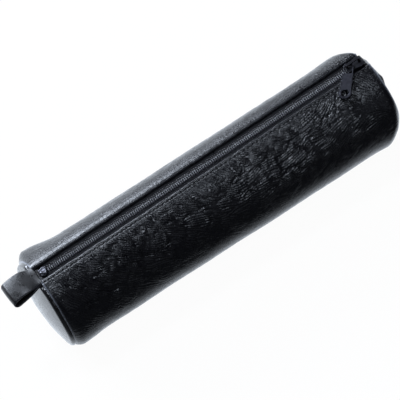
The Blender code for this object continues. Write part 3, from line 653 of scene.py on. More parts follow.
END_SECTORS = 144
LINING_SECTORS = 72
SEAM_INSET = 0.00105
PANEL_SHARES = np.concatenate([
    np.linspace(0.0, 0.86, 30)[1:],
    1 - np.array((115, 90, 70, 52, 35, 26, 18, 13, 9, 5, 2, 0.5, 0)) / 1000,
])
PANEL_TURN_DEPTHS = (0.0004, 0.0012, 0.0030, 0.0050)
PANEL_TURN_INSET = 0.0002
PANEL_ROLL_SHARE = 0.982
PANEL_WAVE = 0.00022
PANEL_PUCKER = 0.00007
PANEL_PUCKER_BAND = (0.90, 0.05)
# Ring near each panel's rolled edge, paler partly from wear and partly as a painted highlight.
PANEL_WEAR_AND_HIGHLIGHT = 0.6
PANEL_WEAR_AND_HIGHLIGHT_BAND = (0.0012, 0.0006)
PANEL_WEAR_AND_HIGHLIGHT_REACH = (0.022, 0.026)
PANEL_ROLL = 0.0006
PANEL_ROLL_CHANGE = 0.0003
PANEL_DROP_EASE = 0.0014
END_LINING_SHARES = (0.25, 0.5, 0.75, 0.9, 1.0)
END_LINING_EASE = 0.0030
END_LINING_DROP_EASE = 0.0046
END_LINING_DEPTH = 0.0032
END_LINING_WAVE = 0.00012
UNDER_STRAP = TAPE_TOP + LOOP_HEIGHT - LOOP_ROOT_HALF - ROOT_CLEARANCE - AXIS_HEIGHT
UNDER_ZIP = TAPE_TOP - 0.0031 - AXIS_HEIGHT
STRAP_REACH = (17.5, 23)
ZIP_REACH = (22, 27)
LINING_END_TRIM = 0.0022
LINING_ZIP_EASE = 0.0012
LINING_END_RADIUS = 0.02460
LINING_RIPPLE = 0.00016
LINING_LIFT = 0.003
LINING_END_START = 0.0074
LINING_UNDER_ZIP = (0.16, 0.50)
LINING_GRID = (120, 150)
HEM_GRID = (160, 10)
HEM_EASE = 0.0003
HEM_RIPPLE = 0.00004


def seam_radius(side, angle):
    """Radius of the end seam's groove, just inside the body's rolled rim."""
    return skin_radius(np.full_like(angle, side * HALF_LENGTH), angle) - SEAM_INSET


def kept_below(rim, turn, height, low, high):
    """A rim brought down below a height over the axis, within so many degrees of the top."""
    soft = 1 - smooth(np.abs(turn), math.radians(low), math.radians(high))
    return rim * (1 - soft) + np.minimum(rim, height / np.maximum(np.cos(turn), 0.5)) * soft


def disc_piece(name, side, rings, tip, thickness, offset, worn_and_highlit=0.0):
    """A sheet of rings around a middle point, which faces out of the pouch."""
    rows, sectors = rings.shape[:2]
    vertices = np.concatenate([rings.reshape(-1, 3), [[side * tip, 0, AXIS_HEIGHT]]])
    faces = grid_faces(rows, sectors, closed=True)
    faces += [[rows * sectors, k, (k + 1) % sectors] for k in range(sectors)]
    if side < 0:
        faces = [face[::-1] for face in faces]
    off_edge = np.abs(np.abs(vertices[:, 0]) - HALF_LENGTH)
    radial = np.hypot(vertices[:, 1], vertices[:, 2] - AXIS_HEIGHT)
    # Paler ring at the rolled edge: wear and painted highlight.
    wear_and_highlight = bell(off_edge, *PANEL_WEAR_AND_HIGHLIGHT_BAND) * smooth(radial, *PANEL_WEAR_AND_HIGHLIGHT_REACH) * worn_and_highlit
    disc = surface_object(name, vertices, faces, vertices[:, [1, 2, 0]] * (1, 1, 0), wear_and_highlight)
    return thicken(disc, thickness, offset)


def make_end(name, side, dome):
    """An end panel: a domed disc with a rolled edge that turns down into the seam."""
    angle = full_turn(END_SECTORS)
    turn = signed(angle)
    rim = seam_radius(side, angle)
    drop = AXIS_HEIGHT - (BODY_RADIUS - rim)
    rim = section_radius(rim, np.minimum(drop, AXIS_HEIGHT - PANEL_DROP_EASE), angle)
    rim = kept_below(rim, turn, UNDER_STRAP, *STRAP_REACH)
    roll = PANEL_ROLL - PANEL_ROLL_CHANGE * side
    pucker = np.sin(turn * 47 + 2 * np.sin(5 * turn)) + 0.7 * np.sin(turn * 81 + 1)
    rings = []
    for share in PANEL_SHARES:
        past = max((share - PANEL_ROLL_SHARE) / (1 - PANEL_ROLL_SHARE), 0)
        level = dome * (1 - share ** 2) + roll * math.sqrt(max(1 - past ** 2, 0))
        level = level + PANEL_PUCKER * pucker * bell(share, *PANEL_PUCKER_BAND)
        level = level + PANEL_WAVE * np.sin(3 * turn + 1.4) * share * (1 - share) * 4 * (0.6 + 0.4 * side)
        rings.append((rim * share, level))
    rings += [(rim - PANEL_TURN_INSET, np.full(END_SECTORS, -depth)) for depth in PANEL_TURN_DEPTHS]
    lean = end_lean(np.full(END_SECTORS, side * HALF_LENGTH), angle)
    shift = twist(side * HALF_LENGTH, angle) / BODY_RADIUS
    points = np.array([
        np.stack([side * (HALF_LENGTH + level) + lean * (radius / rim) ** 2, radius * (np.sin(angle) + shift),
                  AXIS_HEIGHT + radius * np.cos(angle)], -1)
        for radius, level in rings
    ])
    return disc_piece(name, side, points, HALF_LENGTH + dome + roll, LEATHER, side, PANEL_WEAR_AND_HIGHLIGHT)


def make_lining():
    rows, columns = LINING_GRID
    x = np.linspace(-1, 1, rows) * (HALF_LENGTH - LINING_END_TRIM)
    edge = TAPE_HINGE + LINING_ZIP_EASE
    angle = np.linspace(zip_side(1, edge, HEM_INSET), 2 * math.pi + zip_side(-1, edge, HEM_INSET), columns)
    x, angle = np.meshgrid(x, angle, indexing="ij")
    near_end = 1 - smooth(HALF_LENGTH - np.abs(x), LINING_END_START, SWELL_REACH)
    off_top = 1 - np.cos(angle)
    inset = LEATHER + LINING + (HEM_INSET + TAPE - LEATHER) * (1 - smooth(off_top, *LINING_UNDER_ZIP))
    inset = inset + np.maximum(skin_radius(x, angle) - LINING_END_RADIUS - inset, 0) * near_end
    ripple = np.sin(angle * 23 + 3 * np.sin(x * 60)) * np.sin(x * 140 + 2 * angle) * smooth(off_top, 0.3, 0.6)
    points = skin_point(x, angle, inset, -np.abs(LINING_RIPPLE * ripple), LINING_LIFT * near_end)
    return sheet_piece("lining_cloth", points, LINING)


def make_end_lining(name, side):
    angle = full_turn(LINING_SECTORS)
    turn = signed(angle)
    rim = section_radius(seam_radius(side, angle) - END_LINING_EASE, AXIS_HEIGHT - END_LINING_DROP_EASE, angle)
    rim = kept_below(rim, turn, UNDER_ZIP, *ZIP_REACH)
    middle = HALF_LENGTH - END_LINING_DEPTH
    rings = []
    for share in END_LINING_SHARES:
        lean = end_lean(np.full(LINING_SECTORS, side * HALF_LENGTH), angle) * share ** 2
        x = side * (middle + END_LINING_WAVE * np.sin(7 * turn) * share) + lean
        rings.append(np.stack([x, rim * share * np.sin(angle), AXIS_HEIGHT + rim * share * np.cos(angle)], -1))
    return disc_piece(name, side, np.array(rings), middle, LINING, -1)


def make_hem(name, side):
    rows, columns = HEM_GRID
    x = np.linspace(-1, 1, rows) * (HALF_LENGTH - EDGE_TRIM)
    near = zip_side(side, TAPE_HINGE + HEM_EASE, HEM_INSET)
    far = zip_side(side, TAPE_HINGE + HEM_WIDTH, HEM_INSET)
    angle = np.linspace(near, far, columns)[::side]
    points = skin_point(x[:, None], angle[None], HEM_INSET, -np.abs(HEM_RIPPLE * np.sin(x * 400))[:, None])
    return sheet_piece(name, points, TAPE)


# Zip: tapes, coils, cords and their halves

SPLIT = 0.010
TAPE_STEP = 0.0012
TAPE_COLUMNS = 46
RIB_PITCH = 0.00105
RIB_DEPTH = 0.00011
SELVEDGE_DEPTH = 0.00012
SELVEDGE_WIDTH = 0.0002
TAPE_SHRINK = 0.00002
TURN_STEPS = 20
WIRE_SIDES = 8
WIRE_SHARES = (0, 0.10, 0.42, 0.58, 0.92, 1)
WIRE_ADVANCES = (0, 0.02, 0.32, 0.46, 0.97, 1)
PLY_TWIST = 0.0022
PLY_OFFSET = 0.00016
PLY_RADIUS = 0.00020
PLY_STEP = 0.0003
PLY_SIDES = 6


def make_tape(name, side, low, high):
    """Part of one tape in the slot: a ribbed woven strip."""
    x = np.linspace(low, high, max(int((high - low) / TAPE_STEP), 8))
    y = np.linspace(TAPE_INNER_EDGE, TAPE_HINGE, TAPE_COLUMNS)
    top = RIB_DEPTH * np.cos((y - TAPE_INNER_EDGE) / RIB_PITCH * 2 * math.pi) - RIB_DEPTH
    top = top - SELVEDGE_DEPTH * bell(y, TAPE_INNER_EDGE, SELVEDGE_WIDTH)
    points = stacked(x[:, None], (side * y)[None], top[None])[:, ::-side]
    return applied(sheet_piece(name, zip_points(points), TAPE - TAPE_SHRINK, points))


def coil_path(side):
    """Centre line of one coil of the chain, from heel to head and back in each turn."""
    head = COIL_OVERLAP / 2 - COIL_WIRE / 2
    heel = -CHAIN_WIDTH / 2 + COIL_WIRE / 2
    low = SEAT_GAP + COIL_WIRE / 2
    high = SEAT_GAP + COIL_HEIGHT - COIL_WIRE / 2
    lag = COIL_PITCH / 2 if side > 0 else 0
    turns = int((COIL_END - COIL_START - COIL_PITCH) / COIL_PITCH)
    t = np.arange(turns * TURN_STEPS + 1) / TURN_STEPS
    phase = 2 * math.pi * (t % 1)
    across = swollen(np.cos(phase + math.pi), 0.75)
    over = np.clip(swollen(np.sin(phase), 0.55) * 1.25, -1, 1)
    x = COIL_START + lag + (np.floor(t) + np.interp(t % 1, WIRE_SHARES, WIRE_ADVANCES)) * COIL_PITCH
    y = (heel + head) / 2 + across * (head - heel) / 2
    z = (low + high) / 2 + over * (high - low) / 2
    return np.stack([x, -side * y, z], -1)


def make_cord(name, side, low, high):
    """The filler cord in the coil: two plies twisted about each other."""
    y = side * (CHAIN_WIDTH / 2 - COIL_WIRE - SEAT_GAP - CORE_CORD / 2)
    z = SEAT_GAP + COIL_HEIGHT / 2
    x = np.arange(low, high, PLY_STEP)
    parts = []
    for ply in (0, math.pi):
        turn = x / PLY_TWIST * 2 * math.pi + ply
        path = np.stack([x, y + PLY_OFFSET * np.cos(turn), z + PLY_OFFSET * np.sin(turn)], -1)
        parts.append(tube(zip_points(path), PLY_RADIUS, PLY_SIDES))
    return surface_object(name, *joined(parts))


# Straps

STRAP_CORNER = 0.00045
ROOT_DEPTH = 0.0016
ROOT_REACH = (0.0015, 0.0080)
ROOT_PINCH = 0.14
STRAP_CUP = 0.00030
STRAP_EDGE = (0.0074, 0.0079)
STRAP_WEAR_AND_HIGHLIGHT = 0.9
BULGE_REACH = 0.0090
STRAP_STEPS = 44
STRAP_FOLD_STEPS = 16


def strap_section():
    """Rounded outline of the strap's cross-section: width direction, then thickness."""
    half = STRAP_WIDTH / 2 - STRAP_CORNER
    thick = STRAP / 2 - STRAP_CORNER
    outline = []
    for sx, sy, start in ((1, 1, 0), (-1, 1, 90), (-1, -1, 180), (1, -1, 270)):
        for step in range(4):
            turn = math.radians(start + 30 * step)
            outline.append((sx * half + STRAP_CORNER * math.cos(turn), sy * thick + STRAP_CORNER * math.sin(turn)))
    dense = []
    for (x0, y0), (x1, y1) in zip(outline, outline[1:] + outline[:1]):
        count = 16 if abs(x1 - x0) > half / 2 else 1
        dense += [(x0 + (x1 - x0) * step / count, y0 + (y1 - y0) * step / count) for step in range(count)]
    return np.array(dense)


def make_strap(name, centre_line, gap, side):
    """A strap folded in half: out along its upper layer, round the fold and back."""
    closed = (STRAP + STRAP_GAP) / 2
    opened = (STRAP + gap) / 2
    straight = LOOP_REACH - opened
    outer = []
    inner = []
    for value in np.linspace(-ROOT_DEPTH, straight, STRAP_STEPS):
        half = closed + (opened - closed) * float(smooth(value, 0, straight * 0.75))
        place, out, up = centre_line(max(value, 0))
        place = place + out * min(value, 0)
        outer.append(place + up * half)
        inner.append(place - up * half)
    place, out, up = centre_line(straight)
    half_turn = np.linspace(0, math.pi, STRAP_FOLD_STEPS)[1:-1]
    fold = [place + (up * math.cos(t) + out * math.sin(t)) * opened for t in half_turn]
    path = np.array([list(p) for p in outer + fold + inner[::-1]])
    width = np.array((0.0, 1.0, 0.0))
    normal = unit(np.cross(width, unit(np.gradient(path, axis=0))))
    section = strap_section()
    crown = 1 - (section[:, 0] / (STRAP_WIDTH / 2)) ** 2
    vertices = path[:, None] + width[None, None] * section[None, :, :1] + normal[:, None] * section[None, :, 1:]
    run = length_along(path)
    root = 1 - smooth(np.minimum(run, run[-1] - run), *ROOT_REACH)
    cup = STRAP_CUP * np.sin(math.pi * run / run[-1])
    vertices = vertices + normal[:, None] * (cup[:, None, None] * crown[None, :, None])
    vertices[..., 1] *= 1 - ROOT_PINCH * root[:, None]
    vertices[..., 2] -= vertices[..., 1] ** 2 / (2 * BODY_RADIUS) * (0.35 + 0.65 * root[:, None])
    vertices = vertices + np.array((side * (LOOP_HINGE - LOOP_ROOT_HALF), 0, LOOP_HEIGHT))
    place = stacked(run[:, None], section[None, :, 0], 0.0)
    # Cut edges paler: partly wear, partly a painted highlight along them.
    wear_and_highlight = np.broadcast_to(smooth(np.abs(section[:, 0]), *STRAP_EDGE)[None], place.shape[:2]) * STRAP_WEAR_AND_HIGHLIGHT
    return surface_object(name, zip_points(vertices), capped_faces(len(path), len(section)), place, wear_and_highlight)


def strap_frame(x, z, side, slope):
    """A place on a strap's centre line, the way on and the way up."""
    way_on = Vector((side * math.cos(slope), 0, -math.sin(slope)))
    return Vector((x, 0, z)), way_on, Vector((side * math.sin(slope), 0, math.cos(slope)))


def left_line(run):
    """Straight out with a slight droop."""
    share = run / LOOP_REACH
    return strap_frame(-run, -LOOP_DROOP * share ** 2, -1, math.atan(2 * LOOP_DROOP * share / LOOP_REACH))


def right_line(run):
    """Down inside the rim first, then along the end panel with a slight bulge."""
    turn = min(run / HANG_BEND, math.pi / 2)
    rest = max(run - HANG_BEND * math.pi / 2, 0)
    bulge = HANG_BULGE * float(smooth(rest, 0, BULGE_REACH))
    lean = math.atan(HANG_BULGE / BULGE_REACH) * (0 < rest < BULGE_REACH)
    down = math.pi / 2 - lean if turn >= math.pi / 2 else turn
    z = -HANG_BEND * (1 - math.cos(turn)) - rest - HANG_DROP
    return strap_frame(HANG_BEND * math.sin(turn) - HANG_INSET + bulge, z, 1, down)


# Stitches and bottom stop

STITCH_LENGTH = 0.0025
STITCH_RADIUS = 0.00019
STITCH_SLANT = 0.06
STITCH_RISE = 0.00016
STITCH_DIP = 0.00022
LIP_STITCHES = 70
TACK_LENGTH = 0.0012
TACK_RADIUS = 0.00017
TACK_PITCH = 0.00075
TACK_START = 0.0008
TACK_HEIGHT = 0.0006
TACKS = 6
TACK_INWARD = 0.0012
TACK_STAGGER = 0.0002
CRIMP_POWER = 0.55
CRIMP_SINK = 0.0004
CRIMP_FOLD = 0.0006
CRIMP_DENT = 0.00025
CRIMP_BULGE = 0.0003


def stitch(ends, up, length, radius, slant=0.0):
    """One thread stitch between two places: a small tube that dips into the leather at both ends."""
    along = unit(ends[1] - ends[0])
    along = along + slant * np.cross(up, along)
    share = np.linspace(-1, 1, 7)
    rise = STITCH_RISE * (1 - share ** 2) - STITCH_DIP * np.abs(share) ** 4
    path = ends.mean(axis=0)[None] + along[None] * (share * length / 2)[:, None] + up[None] * rise[:, None]
    return tube(path, radius * np.sqrt(1.05 - 0.7 * share ** 4), 6)


def make_lip_stitches(name, side):
    angle = zip_side(side, STITCH_LINE)
    up = np.array((0, math.sin(angle), math.cos(angle)))
    parts = []
    for k in range(LIP_STITCHES + 1):
        x = (k - LIP_STITCHES / 2 + 0.5) * STITCH_PITCH
        ends = skin_point(np.array((x - MM, x + MM)), angle, STITCH_DIP)
        parts.append(stitch(ends, up, STITCH_LENGTH, STITCH_RADIUS, side * STITCH_SLANT))
    return surface_object(name, *joined(parts))


def make_tack():
    """Short stitches that tack the tape's end to the leather beside the left strap."""
    up = np.array((0, 0, 1.0))
    parts = []
    for k in range(TACKS):
        y = -TACK_START - TACK_PITCH * k
        x = -HALF_LENGTH + TACK_INWARD + TACK_STAGGER * (k % 2)
        ends = zip_points([[x - TACK_LENGTH / 2, y, TACK_HEIGHT], [x + TACK_LENGTH / 2, y, TACK_HEIGHT]])
        parts.append(stitch(ends, up, TACK_LENGTH, TACK_RADIUS))
    return surface_object("left_tack_stitches", *joined(parts))


def make_crimp():
    """Bottom stop: a soft clip squeezed over the coils' ends, with dents and sharp folds."""
    u, turn = np.meshgrid(np.linspace(-1, 1, 33), full_turn(64), indexing="ij")
    y = swollen(np.cos(turn), CRIMP_POWER)
    z = swollen(np.sin(turn), CRIMP_POWER)
    end = 1 - np.abs(u) ** 5 * 0.35
    across = y * CRIMP_WIDTH / 2 * end * (1 + 0.06 * np.sin(5 * u + 1))
    folds = CRIMP_FOLD * np.abs(np.sin(1.3 * u + 3.6 * y + 0.4)) - CRIMP_DENT * np.abs(np.sin(2.1 * u - 1.3 * y + 1.0))
    up = CRIMP_HEIGHT / 2 * (1 + z * end) + np.where(z > 0, folds * z, 0) - CRIMP_SINK
    along = BOTTOM_STOP_MIDDLE + u * CRIMP_LENGTH / 2 + CRIMP_BULGE * np.sin(3 * y) * u
    points = zip_points(np.stack([along, across, up], -1))
    return surface_object("crimped_stop", points, capped_faces(*u.shape), points)


# Pull

def pull_outline():
    """The pull's outline in its own plane, in millimetres: down one side, round the end and up the other."""
    side = [(half, run) for run, half in PULL_SIDE]
    for turn in np.radians(np.linspace(-28, 90, 10)):
        side.append((PULL_END_RADIUS * math.cos(turn), PULL_END + PULL_END_RADIUS * math.sin(turn)))
    whole = side + [(-half, run) for half, run in side[::-1][1:]]
    return [(PULL_MIDDLE + across, along) for across, along in whole]


def pull_ring(radius):
    return [(PULL_MIDDLE + radius * math.cos(t), PULL_HOLE_PLACE + radius * math.sin(t)) for t in full_turn(40)]


def pull_point(across, along, out):
    """A place in the pull's plane and off it, moved to the pouch's frame at rest."""
    return PULL_ORIGIN + (PULL_ACROSS * across + PULL_ALONG * along) * MM + np.cross(PULL_ACROSS, PULL_ALONG) * out


def plate(outlines, thickness, softening):
    """A mesh of a flat plate with soft edges. The outlines after the first are its holes."""
    data = bpy.data.curves.new("plate", "CURVE")
    data.dimensions = "2D"
    data.fill_mode = "BOTH"
    data.extrude = thickness / 2 - softening
    data.bevel_depth = softening
    data.bevel_resolution = 2
    data.offset = -softening
    for points in outlines:
        spline = data.splines.new("POLY")
        spline.points.add(len(points) - 1)
        for point, (across, along) in zip(spline.points, points):
            point.co = (across * MM, along * MM, 0, 1)
        spline.use_cyclic_u = True
    flat = add_object("plate", data)
    bpy.context.view_layer.update()
    shape = bmesh.new()
    shape.from_mesh(bpy.data.meshes.new_from_object(flat.evaluated_get(bpy.context.evaluated_depsgraph_get())))
    bpy.data.objects.remove(flat)
    bmesh.ops.remove_doubles(shape, verts=shape.verts, dist=SAME_PLACE)
    bmesh.ops.recalc_face_normals(shape, faces=shape.faces)
    shape.verts.index_update()
    return shape


def make_pull():
    """The pull: a flat tab with softened edges, a raised border and a raised ring round its hole."""
    shape = plate((pull_outline(), pull_ring(PULL_HOLE_RADIUS), PULL_WINDOW), PULL_THICKNESS, PULL_SOFTENING)
    vertices = np.array([pull_point(v.co.x / MM, v.co.y / MM, v.co.z) for v in shape.verts])
    faces = [[v.index for v in face.verts] for face in shape.faces]
    shape.free()
    parts = [(vertices, faces, np.zeros_like(vertices))]
    narrow, short = PULL_BORDER_SHARES
    border = [(PULL_MIDDLE + (across - PULL_MIDDLE) * narrow, PULL_BORDER_MIDDLE + (along - PULL_BORDER_MIDDLE) * short)
              for across, along in pull_outline()]
    for level in (1, -1):
        out = level * (PULL_THICKNESS / 2 - PULL_LINE_SINK)
        for line, radius, sides in ((pull_ring(PULL_RING_RADIUS), PULL_RING_LINE, 8), (border, PULL_BORDER_LINE, 6)):
            path = [pull_point(across, along, out) for across, along in line + line[:1]]
            parts.append(tube(path, radius, sides, caps=False))
    return surface_object("pull_tab", *joined(parts), smooth_shading=False)


# Materials

def cleared_tree(data):
    data.use_nodes = True
    data.node_tree.nodes.clear()
    return data.node_tree


def put(tree, kind, values=None, links=None, **settings):
    """A node with its settings, its sockets' values and what is linked to them."""
    node = tree.nodes.new("ShaderNode" + kind)
    for key, value in settings.items():
        setattr(node, key, value)
    for socket, value in (values or {}).items():
        node.inputs[socket].default_value = value
    for socket, source in (links or {}).items():
        tree.links.new(source, node.inputs[socket])
    return node


def blank_material(name, specular, metallic=0.0):
    material = bpy.data.materials.new(name)
    material.use_nodes = True
    shader = material.node_tree.nodes["Principled BSDF"]
    shader.inputs["Specular IOR Level"].default_value = specular
    shader.inputs["Metallic"].default_value = metallic
    return material, material.node_tree


def finished(material, colour, roughness, height, depth):
    """The material with its colour, roughness and bump joined to its shader."""
    tree = material.node_tree
    normal = put(tree, "Bump", {"Strength": 1.0, "Distance": depth}, {"Height": height}).outputs[0]
    for socket, source in (("Base Color", colour), ("Roughness", roughness), ("Normal", normal)):
        tree.links.new(source, tree.nodes["Principled BSDF"].inputs[socket])
    return material


def split(tree, place):
    return put(tree, "SeparateXYZ", None, {0: place}).outputs


def in_mm(tree, source):
    return put(tree, "VectorMath", {1: (1000, 1000, 1000)}, {0: source}, operation="MULTIPLY").outputs[0]


def on_surface(tree):
    """Texture place on the surface itself, in millimetres."""
    return in_mm(tree, put(tree, "Attribute", attribute_name="surface").outputs["Vector"])


def noise(tree, place, scale, detail=2.0, rough=0.5, output="Fac"):
    values = {"Scale": scale, "Detail": detail, "Roughness": rough}
    return put(tree, "TexNoise", values, {"Vector": place}).outputs[output]


def ranged(tree, source, low, high, to_low=0.0, to_high=1.0):
    return put(tree, "MapRange", {1: low, 2: high, 3: to_low, 4: to_high}, {0: source}).outputs[0]


def maths(tree, operation, a, b=0.0):
    node = put(tree, "Math", operation=operation)
    for index, value in enumerate((a, b)):
        if isinstance(value, (int, float)):
            node.inputs[index].default_value = value
        else:
            tree.links.new(value, node.inputs[index])
    return node.outputs[0]


def times(tree, a, b):
    return maths(tree, "MULTIPLY", a, b)


def plus(tree, a, b):
    return maths(tree, "ADD", a, b)


def mixed(tree, factor, first, second):
    """From a first colour or socket to a second colour."""
    plain = isinstance(first, tuple)
    values = {6: (*first, 1), 7: (*second, 1)} if plain else {7: (*second, 1)}
    links = {0: factor} if plain else {0: factor, 6: first}
    return put(tree, "Mix", values, links, data_type="RGBA").outputs[2]


def leather(name, dark, light, worn_and_highlit, rough, specular):
    """Nappa: small pebbles parted by fine grooves painted darker as shade, softly uneven in colour and gloss, and paler
    along rims, lips and edges, partly from wear and partly as a painted highlight.
    """
    material, tree = blank_material(name, specular)
    place = on_surface(tree)
    drift = noise(tree, place, 0.7, 1.0, output="Color")
    shifted = put(tree, "VectorMath", {1: (1.1, 1.1, 0)}, {0: drift}, operation="MULTIPLY").outputs[0]
    warped = put(tree, "VectorMath", None, {0: place, 1: shifted}, operation="ADD").outputs[0]
    cells = put(tree, "TexVoronoi", {"Scale": 1.05}, {"Vector": warped}, feature="DISTANCE_TO_EDGE")
    pebbles = ranged(tree, cells.outputs["Distance"], 0.0, 0.28)
    soft = noise(tree, place, 0.22)
    height = plus(tree, times(tree, pebbles, 0.88), times(tree, noise(tree, place, 4.5, 3.0, 0.6), 0.12))
    gloss = ranged(tree, soft, 0.3, 0.7, rough - 0.05, rough + 0.05)
    gloss = plus(tree, gloss, ranged(tree, pebbles, 0, 1, 0.07, -0.01))
    # The grooves between the pebbles are darker in colour: painted shade.
    tone = times(tree, ranged(tree, soft, 0.25, 0.75, 0.2), ranged(tree, pebbles, 0, 1, 0.25))
    # Paler along lips, rims and edges: partly wear, partly a painted highlight.
    edge = put(tree, "Attribute", attribute_name="wear_and_highlight").outputs["Fac"]
    rubbed_and_highlit = times(tree, edge, ranged(tree, noise(tree, place, 1.6, 3.0), 0.35, 0.65, 0.35))
    colour = mixed(tree, rubbed_and_highlit, mixed(tree, tone, dark, light), worn_and_highlit)
    return finished(material, colour, gloss, height, 0.00003)


def woven(name, dark, light, pitch, depth, rough):
    """Plain weave: threads over and under each other in two directions."""
    material, tree = blank_material(name, 0.3)
    place = on_surface(tree)
    parts = split(tree, place)
    along, across = (maths(tree, "SINE", times(tree, part, 2 * math.pi / pitch)) for part in parts[:2])
    crossing = times(tree, along, across)
    fuzz = noise(tree, place, 6.0, 3.0, 0.7)
    height = plus(tree, ranged(tree, crossing, -1, 1), times(tree, fuzz, 0.5))
    tone = times(tree, ranged(tree, crossing, -1, 1, 0.1), ranged(tree, fuzz, 0.3, 0.7, 0.5))
    roughness = ranged(tree, fuzz, 0.3, 0.7, rough - 0.08, rough + 0.08)
    return finished(material, mixed(tree, tone, dark, light), roughness, height, depth)


def thread(name, dark, light):
    """Twisted thread or filament with a fine slanted lay."""
    material, tree = blank_material(name, 0.4)
    place = on_surface(tree)
    parts = split(tree, place)
    slant = plus(tree, times(tree, parts[0], 14.0), times(tree, parts[1], 9.0))
    lay = ranged(tree, maths(tree, "SINE", slant), -1, 1)
    roughness = ranged(tree, noise(tree, place, 3.0), 0.3, 0.7, 0.45, 0.65)
    return finished(material, mixed(tree, lay, dark, light), roughness, lay, 0.00003)


def nylon(name, dark, light):
    """Drawn nylon wire, glossy and faintly streaked."""
    material, tree = blank_material(name, 0.9)
    streaks = noise(tree, on_surface(tree), 2.4, 3.0, 0.6)
    colour = mixed(tree, ranged(tree, streaks, 0.3, 0.7), dark, light)
    return finished(material, colour, ranged(tree, streaks, 0.3, 0.7, 0.20, 0.32), streaks, 0.00002)


def plated(name, dark, light, rough, metallic, depth):
    """Plated and tumbled metal: faintly cloudy, with a fine satin grain."""
    material, tree = blank_material(name, 0.5, metallic)
    place = in_mm(tree, put(tree, "TexCoord").outputs["Object"])
    clouds = noise(tree, place, 0.6, 4.0, 0.6)
    grain = noise(tree, place, 9.0, 3.0, 0.7)
    colour = mixed(tree, ranged(tree, clouds, 0.3, 0.7), dark, light)
    roughness = ranged(tree, grain, 0.3, 0.7, rough - 0.07, rough + 0.09)
    return finished(material, colour, roughness, plus(tree, times(tree, grain, 0.6), clouds), depth)


# Dark and light colours of each material. Leather: colour of wear and painted highlight, roughness and specular
# level. Cloth: pitch in millimetres, depth and roughness. Metal: roughness, metallic level and depth.
# The third colour of each leather is partly wear and partly a painted highlight on rims, lips and edges.
skin_leather = leather("nappa", (0.0018, 0.0019, 0.0036), (0.0042, 0.0043, 0.0074), (0.3, 0.32, 0.37), 0.22, 0.4)
end_leather = leather("end_nappa", (0.0015, 0.0015, 0.0022), (0.0036, 0.0036, 0.0048), (0.03, 0.03, 0.036), 0.15, 0.8)
strap_leather = leather(
    "strap_nappa", (0.0016, 0.0016, 0.0026), (0.0045, 0.0045, 0.006), (0.045, 0.046, 0.055), 0.3, 0.36,
)
tack_thread = thread("tack_thread", (0.08, 0.08, 0.09), (0.3, 0.3, 0.33))
tape_weave = woven("tape_weave", (0.0022, 0.0022, 0.0034), (0.013, 0.013, 0.018), 0.42, 0.00005, 0.6)
lining_weave = woven("lining_weave", (0.004, 0.004, 0.005), (0.016, 0.016, 0.019), 0.36, 0.00003, 0.8)
cord_thread = thread("cord_thread", (0.012, 0.012, 0.014), (0.035, 0.035, 0.04))
stitch_thread = thread("stitch_thread", (0.0015, 0.0015, 0.0025), (0.008, 0.008, 0.011))
coil_nylon = nylon("coil_nylon", (0.005, 0.005, 0.007), (0.02, 0.02, 0.025))
# Lighter copy of the coil nylon for the front coil: a painted highlight where light falls on the front row of teeth.
lit_front_nylon = nylon("lit_front_nylon", (0.06, 0.06, 0.072), (0.18, 0.18, 0.205))
slider_metal = plated("slider_metal", (0.014, 0.014, 0.018), (0.03, 0.03, 0.036), 0.34, 0.85, 0.00002)
pull_metal = plated("pull_metal", (0.014, 0.014, 0.019), (0.034, 0.034, 0.042), 0.32, 0.85, 0.00002)
stop_metal = plated("stop_metal", (0.16, 0.16, 0.18), (0.26, 0.26, 0.28), 0.42, 0.9, 0.00003)
crimp_metal = plated("crimp_metal", (0.024, 0.024, 0.03), (0.12, 0.122, 0.14), 0.3, 0.9, 0.00004)


def coat(item, material):
    item.data.materials.clear()
    item.data.materials.append(material)


def dress(item, material, body, nodes=()):
    """Gives a piece its material, its body and the nodes that it stands for."""
    coat(item, material)
    if body:
        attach(item, body)
    if nodes:
        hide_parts(*nodes)


# Body, ends and linings
dress(make_body(), skin_leather, "pouch", ["leather_body"])
dress(make_end("left_end_skin", -1, LEFT_DOME), end_leather, "pouch", ["left_end_panel"])
dress(make_end("right_end_skin", 1, RIGHT_DOME), end_leather, "pouch", ["right_end_panel"])
dress(make_lining(), lining_weave, "pouch", ["body_lining"])
dress(make_end_lining("left_end_cloth", -1), lining_weave, "pouch", ["left_end_lining"])
dress(make_end_lining("right_end_cloth", 1), lining_weave, "pouch", ["right_end_lining"])


def bend_piece(item, material, node):
    dress(item, material, None, [node])
    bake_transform(item)


for side, word in ((-1, "front"), (1, "back")):
    dress(make_hem(word + "_hem_weave", side), tape_weave, "pouch", [word + "_tape_hem"])
    dress(make_lip_stitches(word + "_lip_stitches", side), stitch_thread, "pouch")
    path = coil_path(side)
    cut = int(np.searchsorted(path[:, 0], SPLIT))
    for part, low, high, piece in (
        ("left", -HALF_LENGTH + ZIP_END_TRIM, SPLIT, path[:cut + 1]),
        ("right", SPLIT, HALF_LENGTH - ZIP_END_TRIM, path[cut:]),
    ):
        tape = make_tape(f"{word}_{part}_tape_weave", side, low, high)
        bend_piece(tape, tape_weave, word + "_tape")
        wire = tube(zip_points(piece), COIL_WIRE / 2, WIRE_SIDES)
        coil = surface_object(f"{word}_{part}_coil_wire", *wire)
        # The front coil takes the lighter nylon as a painted highlight; the back coil takes the plain one.
        bend_piece(coil, lit_front_nylon if side < 0 else coil_nylon, word + "_coil")
        cord = make_cord(f"{word}_{part}_cord_plies", side, max(low, COIL_START), min(high, COIL_END))
        bend_piece(cord, cord_thread, word + "_core_cord")

dress(make_tack(), tack_thread, "pouch")
dress(make_crimp(), crimp_metal, "pouch", ["bottom_stop"])
dress(make_pull(), pull_metal, "pull", ["zip_pull"])

